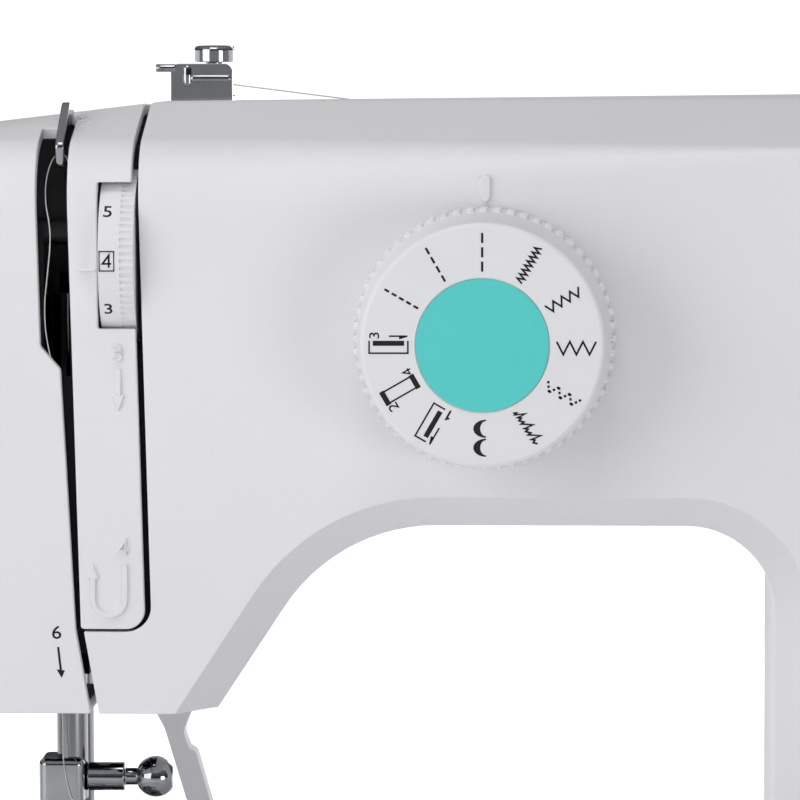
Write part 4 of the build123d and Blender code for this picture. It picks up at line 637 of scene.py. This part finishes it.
def end_tree(tree, geometry, material):
    """Ends a tree in real, smooth geometry with its material."""
    smooth = add(tree, "GeometryNodeSetShadeSmooth", {"Geometry": geometry})
    real = add(tree, "GeometryNodeRealizeInstances", {"Geometry": smooth.outputs["Geometry"]})
    dressed = add(tree, "GeometryNodeSetMaterial",
                  {"Geometry": real.outputs["Geometry"], "Material": material})
    add(tree, "NodeGroupOutput", {"Geometry": dressed.outputs["Geometry"]})


def grown(name, tree, source, values):
    """Plain mesh of what a tree makes of a source curve or mesh."""
    carrier = placed(name + "_source", source)
    modifier = carrier.modifiers.new(name, "NODES")
    modifier.node_group = tree
    for socket in tree.interface.items_tree:
        if socket.in_out == "INPUT" and socket.name in values:
            modifier[socket.identifier] = values[socket.name]
    return settled(carrier)


def thread_line(name, points):
    """Smooth open line led by the points of a thread's route."""
    curve = bpy.data.curves.new(name, "CURVE")
    curve.dimensions = "3D"
    curve.resolution_u = 24
    spline = curve.splines.new("NURBS")
    spline.points.add(len(points) - 1)
    for point, place in zip(spline.points, points):
        point.co = [c * MM for c in place] + [1.0]
    spline.order_u = 3
    spline.use_endpoint_u = True
    return curve


# plies laid round a line and twisted along it
twist_tree, sizes = new_tree("twisted_thread", ("Ply Radius", "Lay Radius", "Pitch", "Step"), ("Plies",))
track = add(twist_tree, "GeometryNodeResampleCurve",
            {"Curve": sizes["Geometry"], "Length": sizes["Step"]}, mode="LENGTH")
way = add(twist_tree, "GeometryNodeSplineParameter")
turns = add(twist_tree, "ShaderNodeMath",
            {0: way.outputs["Length"], 1: sizes["Pitch"]}, operation="DIVIDE")
angle = add(twist_tree, "ShaderNodeMath", {0: turns.outputs["Value"], 1: tau}, operation="MULTIPLY")
tilted = add(twist_tree, "GeometryNodeSetCurveTilt",
             {"Curve": track.outputs["Curve"], "Tilt": angle.outputs["Value"]})
lay = add(twist_tree, "GeometryNodeCurvePrimitiveCircle",
          {"Resolution": sizes["Plies"], "Radius": sizes["Lay Radius"]})
ply = add(twist_tree, "GeometryNodeCurvePrimitiveCircle",
          {"Resolution": 6, "Radius": sizes["Ply Radius"]})
bundle = add(twist_tree, "GeometryNodeInstanceOnPoints",
             {"Points": lay.outputs["Curve"], "Instance": ply.outputs["Curve"]})
section = add(twist_tree, "GeometryNodeRealizeInstances", {"Geometry": bundle.outputs["Instances"]})
strand = add(twist_tree, "GeometryNodeCurveToMesh",
             {"Curve": tilted.outputs["Curve"], "Profile Curve": section.outputs["Geometry"],
              "Fill Caps": True})
end_tree(twist_tree, strand.outputs["Mesh"], spun_polyester)


def twisted(name, route, ply_radius, body):
    """Twisted thread along a route, with what its cord is: the line's points, its length and its kind."""
    curve = thread_line(name, route)
    path = [vertex.co.copy() for vertex in settled(placed(name + "_line", curve)).vertices]
    mesh = grown(name, twist_tree, curve,
                 {"Ply Radius": ply_radius * MM, "Lay Radius": ply_radius * MM, "Plies": 3,
                  "Pitch": 1.3 * MM, "Step": 0.2 * MM})
    piece = new_piece(name, mesh, spun_polyester, body)
    length = sum((b - a).length for a, b in zip(path, path[1:]))
    return piece, {"exit": path[0], "length": length, "path": path, "far_end": "object",
                   "stiffness": "limp"}


# from the spool round the rear hook to the guide on the roof
upper_route = [(92.0, 30.2, 297.0), (-27.6, 41.97, 290.73), (-30.0, 42.2, 290.6), (-32.3, 41.53, 290.92),
               (-80.0, 27.5, 297.6)]
upper, facts = twisted("upper_thread_twisted", upper_route, 0.1, "frame")
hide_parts("upper_thread")

# the same thread further on, drawn finer: round the take-up lever's eye and down the slit
take_up_route = [(-112.0, -11.2, 262.0), (-112.6, -11.0, 270.0), (-113.9, -9.6, 279.4),
                 (-114.5, -8.6, 283.2), (-117.4, -8.6, 283.2), (-118.9, -11.0, 278.6),
                 (-118.8, -15.0, 273.2), (-117.5, -17.0, 267.7), (-117.4, -17.3, 263.2),
                 (-118.3, -17.3, 255.4), (-118.9, -17.3, 250.1), (-118.6, -17.3, 242.3),
                 (-117.0, -17.3, 236.0)]
take_up, facts = twisted("take_up_thread", take_up_route, 0.075, None)
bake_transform(take_up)

# then down the needle bar, past the clamp and along the needle to its eye
needle_route = [(-119.7, 15.0, 196.0), (-119.7, 15.0, 180.0), (-119.7, 15.1, 166.0),
                (-119.7, 16.4, 156.0), (-119.7, 17.5, 148.0), (-119.6, 16.2, 143.2),
                (-119.3, 15.9, 140.0), (-118.2, 15.9, 134.0), (-117.0, 16.2, 131.6),
                (-116.8, 20.6, 130.2), (-116.75, 21.7, 127.0), (-116.75, 21.9, 122.5),
                (-116.9, 21.8, 120.0), (-117.3, 21.5, 117.0), (-117.65, 21.35, 113.0),
                (-117.95, 21.35, 109.9)]
needle_end, facts = twisted("needle_thread", needle_route, 0.075, "needle_bar")

# thread or wire wound in one helix
winding_tree, sizes = new_tree("wound_thread",
                               ("Radius", "Height", "Turns", "Thread", "Foot", "Across", "Depth"))
helix = add(winding_tree, "GeometryNodeCurveSpiral",
            {"Resolution": 40, "Rotations": sizes["Turns"], "Start Radius": sizes["Radius"],
             "End Radius": sizes["Radius"], "Height": sizes["Height"]})
yarn = add(winding_tree, "GeometryNodeCurvePrimitiveCircle", {"Resolution": 5, "Radius": sizes["Thread"]})
wound = add(winding_tree, "GeometryNodeCurveToMesh",
            {"Curve": helix.outputs["Curve"], "Profile Curve": yarn.outputs["Curve"], "Fill Caps": True})
core = add(winding_tree, "ShaderNodeCombineXYZ",
           {"X": sizes["Across"], "Y": sizes["Depth"], "Z": sizes["Foot"]})
moved = add(winding_tree, "GeometryNodeTransform",
            {"Geometry": wound.outputs["Mesh"], "Translation": core.outputs["Vector"]})
end_tree(winding_tree, moved.outputs["Geometry"], spun_polyester)


def winding(name, node, radius, margin, turns, thread=0.21, material=spun_polyester):
    """Thread wound between the flanges of a spool or bobbin, or wire wound to a spring."""
    low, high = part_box(node)
    across, depth, _ = middle(node)
    values = {"Radius": radius * MM, "Height": high.z - low.z - 2 * margin * MM, "Turns": turns,
              "Thread": thread * MM, "Foot": low.z + margin * MM, "Across": across, "Depth": depth}
    mesh = grown(name, winding_tree, bpy.data.meshes.new(name), values)
    return new_piece(name, mesh, material, nodes[node]["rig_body"])


winding("spool_winding", "thread_spool", radius=11.65, margin=2.2, turns=84.0)
winding("bobbin_winding", "bobbin", radius=8.7, margin=1.4, turns=22.0)
spring = winding("presser_spring_coiled", "presser_spring", radius=4.8, margin=0.6, turns=15.0,
                 thread=0.6, material=ground_steel)
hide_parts("presser_spring")
low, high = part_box("presser_spring")
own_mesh(spring)

# Seam guide lines on the needle plate
guide_tree, sizes = new_tree("seam_guides", ("Spacing", "Length", "Width", "Depth"), ("Lines",))
stroke = add(guide_tree, "ShaderNodeCombineXYZ",
             {"X": sizes["Width"], "Y": sizes["Length"], "Z": sizes["Depth"]})
tick = add(guide_tree, "GeometryNodeMeshCube", {"Size": stroke.outputs["Vector"]})
spacing = add(guide_tree, "ShaderNodeCombineXYZ", {"X": sizes["Spacing"]})
row = add(guide_tree, "GeometryNodeMeshLine",
          {"Count": sizes["Lines"], "Offset": spacing.outputs["Vector"]})
ruled = add(guide_tree, "GeometryNodeInstanceOnPoints",
            {"Points": row.outputs["Mesh"], "Instance": tick.outputs["Mesh"]})
first_line = (-108 * MM, 38 * MM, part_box("needle_plate")[1].z)
laid = add(guide_tree, "GeometryNodeTransform",
           {"Geometry": ruled.outputs["Instances"], "Translation": first_line})
end_tree(guide_tree, laid.outputs["Geometry"], printed_ink)
guide_lines = grown("seam_guides", guide_tree, bpy.data.meshes.new("seam_guides"),
                    {"Lines": 4, "Spacing": 5.0 * MM, "Length": 16.0 * MM, "Width": 0.35 * MM,
                     "Depth": 0.06 * MM})
new_piece("seam_guide_lines", guide_lines, printed_ink, "frame")

# Studio: a white table that glows more towards the rear as painted light, soft lights all round, and the
# camera
table_mesh = bpy.data.meshes.new("table")
reach = 60.0
table_mesh.from_pydata([(-reach, -reach, 0), (reach, -reach, 0), (reach, reach, 0), (-reach, reach, 0)],
                       [], [(0, 1, 2, 3)])
table = placed("table", table_mesh)
paper, tree, place = start("white_studio_paper")
depth = add(tree, "ShaderNodeSeparateXYZ", {"Vector": place})
# the table's own glow, painted light, grows from front to rear
rear_glow = add(tree, "ShaderNodeMapRange",
              {"Value": depth.outputs["Y"], "From Min": 50 * MM, "From Max": 400 * MM,
               "To Min": 0.13, "To Max": 0.9})
surface(tree, {"Base Color": linear("#F2F2F2"), "Roughness": 0.9, "Emission Color": (1, 1, 1, 1),
               "Emission Strength": rear_glow.outputs["Result"]})
table_mesh.materials.append(paper)

world = bpy.data.worlds.new("studio")
scene.world = world
world.use_nodes = True
tree = world.node_tree
tree.nodes.clear()
outward = add(tree, "ShaderNodeTexCoord").outputs["Generated"]
upward = add(tree, "ShaderNodeSeparateXYZ", {"Vector": outward})
glow = add(tree, "ShaderNodeMapRange",
           {"Value": upward.outputs["Z"], "From Min": 0.1, "From Max": 0.9, "To Min": 0.04, "To Max": 0.4})
room = add(tree, "ShaderNodeBackground", {"Color": (1, 1, 1, 1), "Strength": glow.outputs["Result"]})
add(tree, "ShaderNodeOutputWorld", {"Surface": room.outputs["Background"]})


def softbox(name, place, target, size, power):
    """Square soft light aimed at a target."""
    light = bpy.data.lights.new(name, "AREA")
    light.shape = "SQUARE"
    light.size = size * MM
    light.energy = power
    lamp = placed(name, light)
    lamp.location = Vector(place) * MM
    lamp.rotation_euler = (Vector(target) - Vector(place)).to_track_quat("-Z", "Y").to_euler()


softbox("key_softbox", (-720, -600, 430), (-80, 0, 230), size=720, power=3.8)
softbox("fill_softbox", (640, -760, 90), (0, 0, 190), size=400, power=2.4)
softbox("top_softbox", (-100, -330, 1050), (0, 20, 280), size=450, power=2.3)
softbox("back_softbox", (250, 1000, 420), (0, 60, 190), size=600, power=2.4)

camera = bpy.data.cameras.new("camera")
camera.sensor_width = 36
camera.lens = 212.6
camera.clip_end = 200
eye = placed("camera", camera)
eye.location = Vector((6.67, -1060.3, 332.1)) * MM
ahead = Vector((-0.0445, 1, -0.0988))
roll = radians(-0.14)
eye.rotation_euler = (ahead.to_track_quat("-Z", "Y") @ Quaternion((0, 0, 1), roll)).to_euler()
scene.camera = eye
scene.view_settings.view_transform = "Standard"
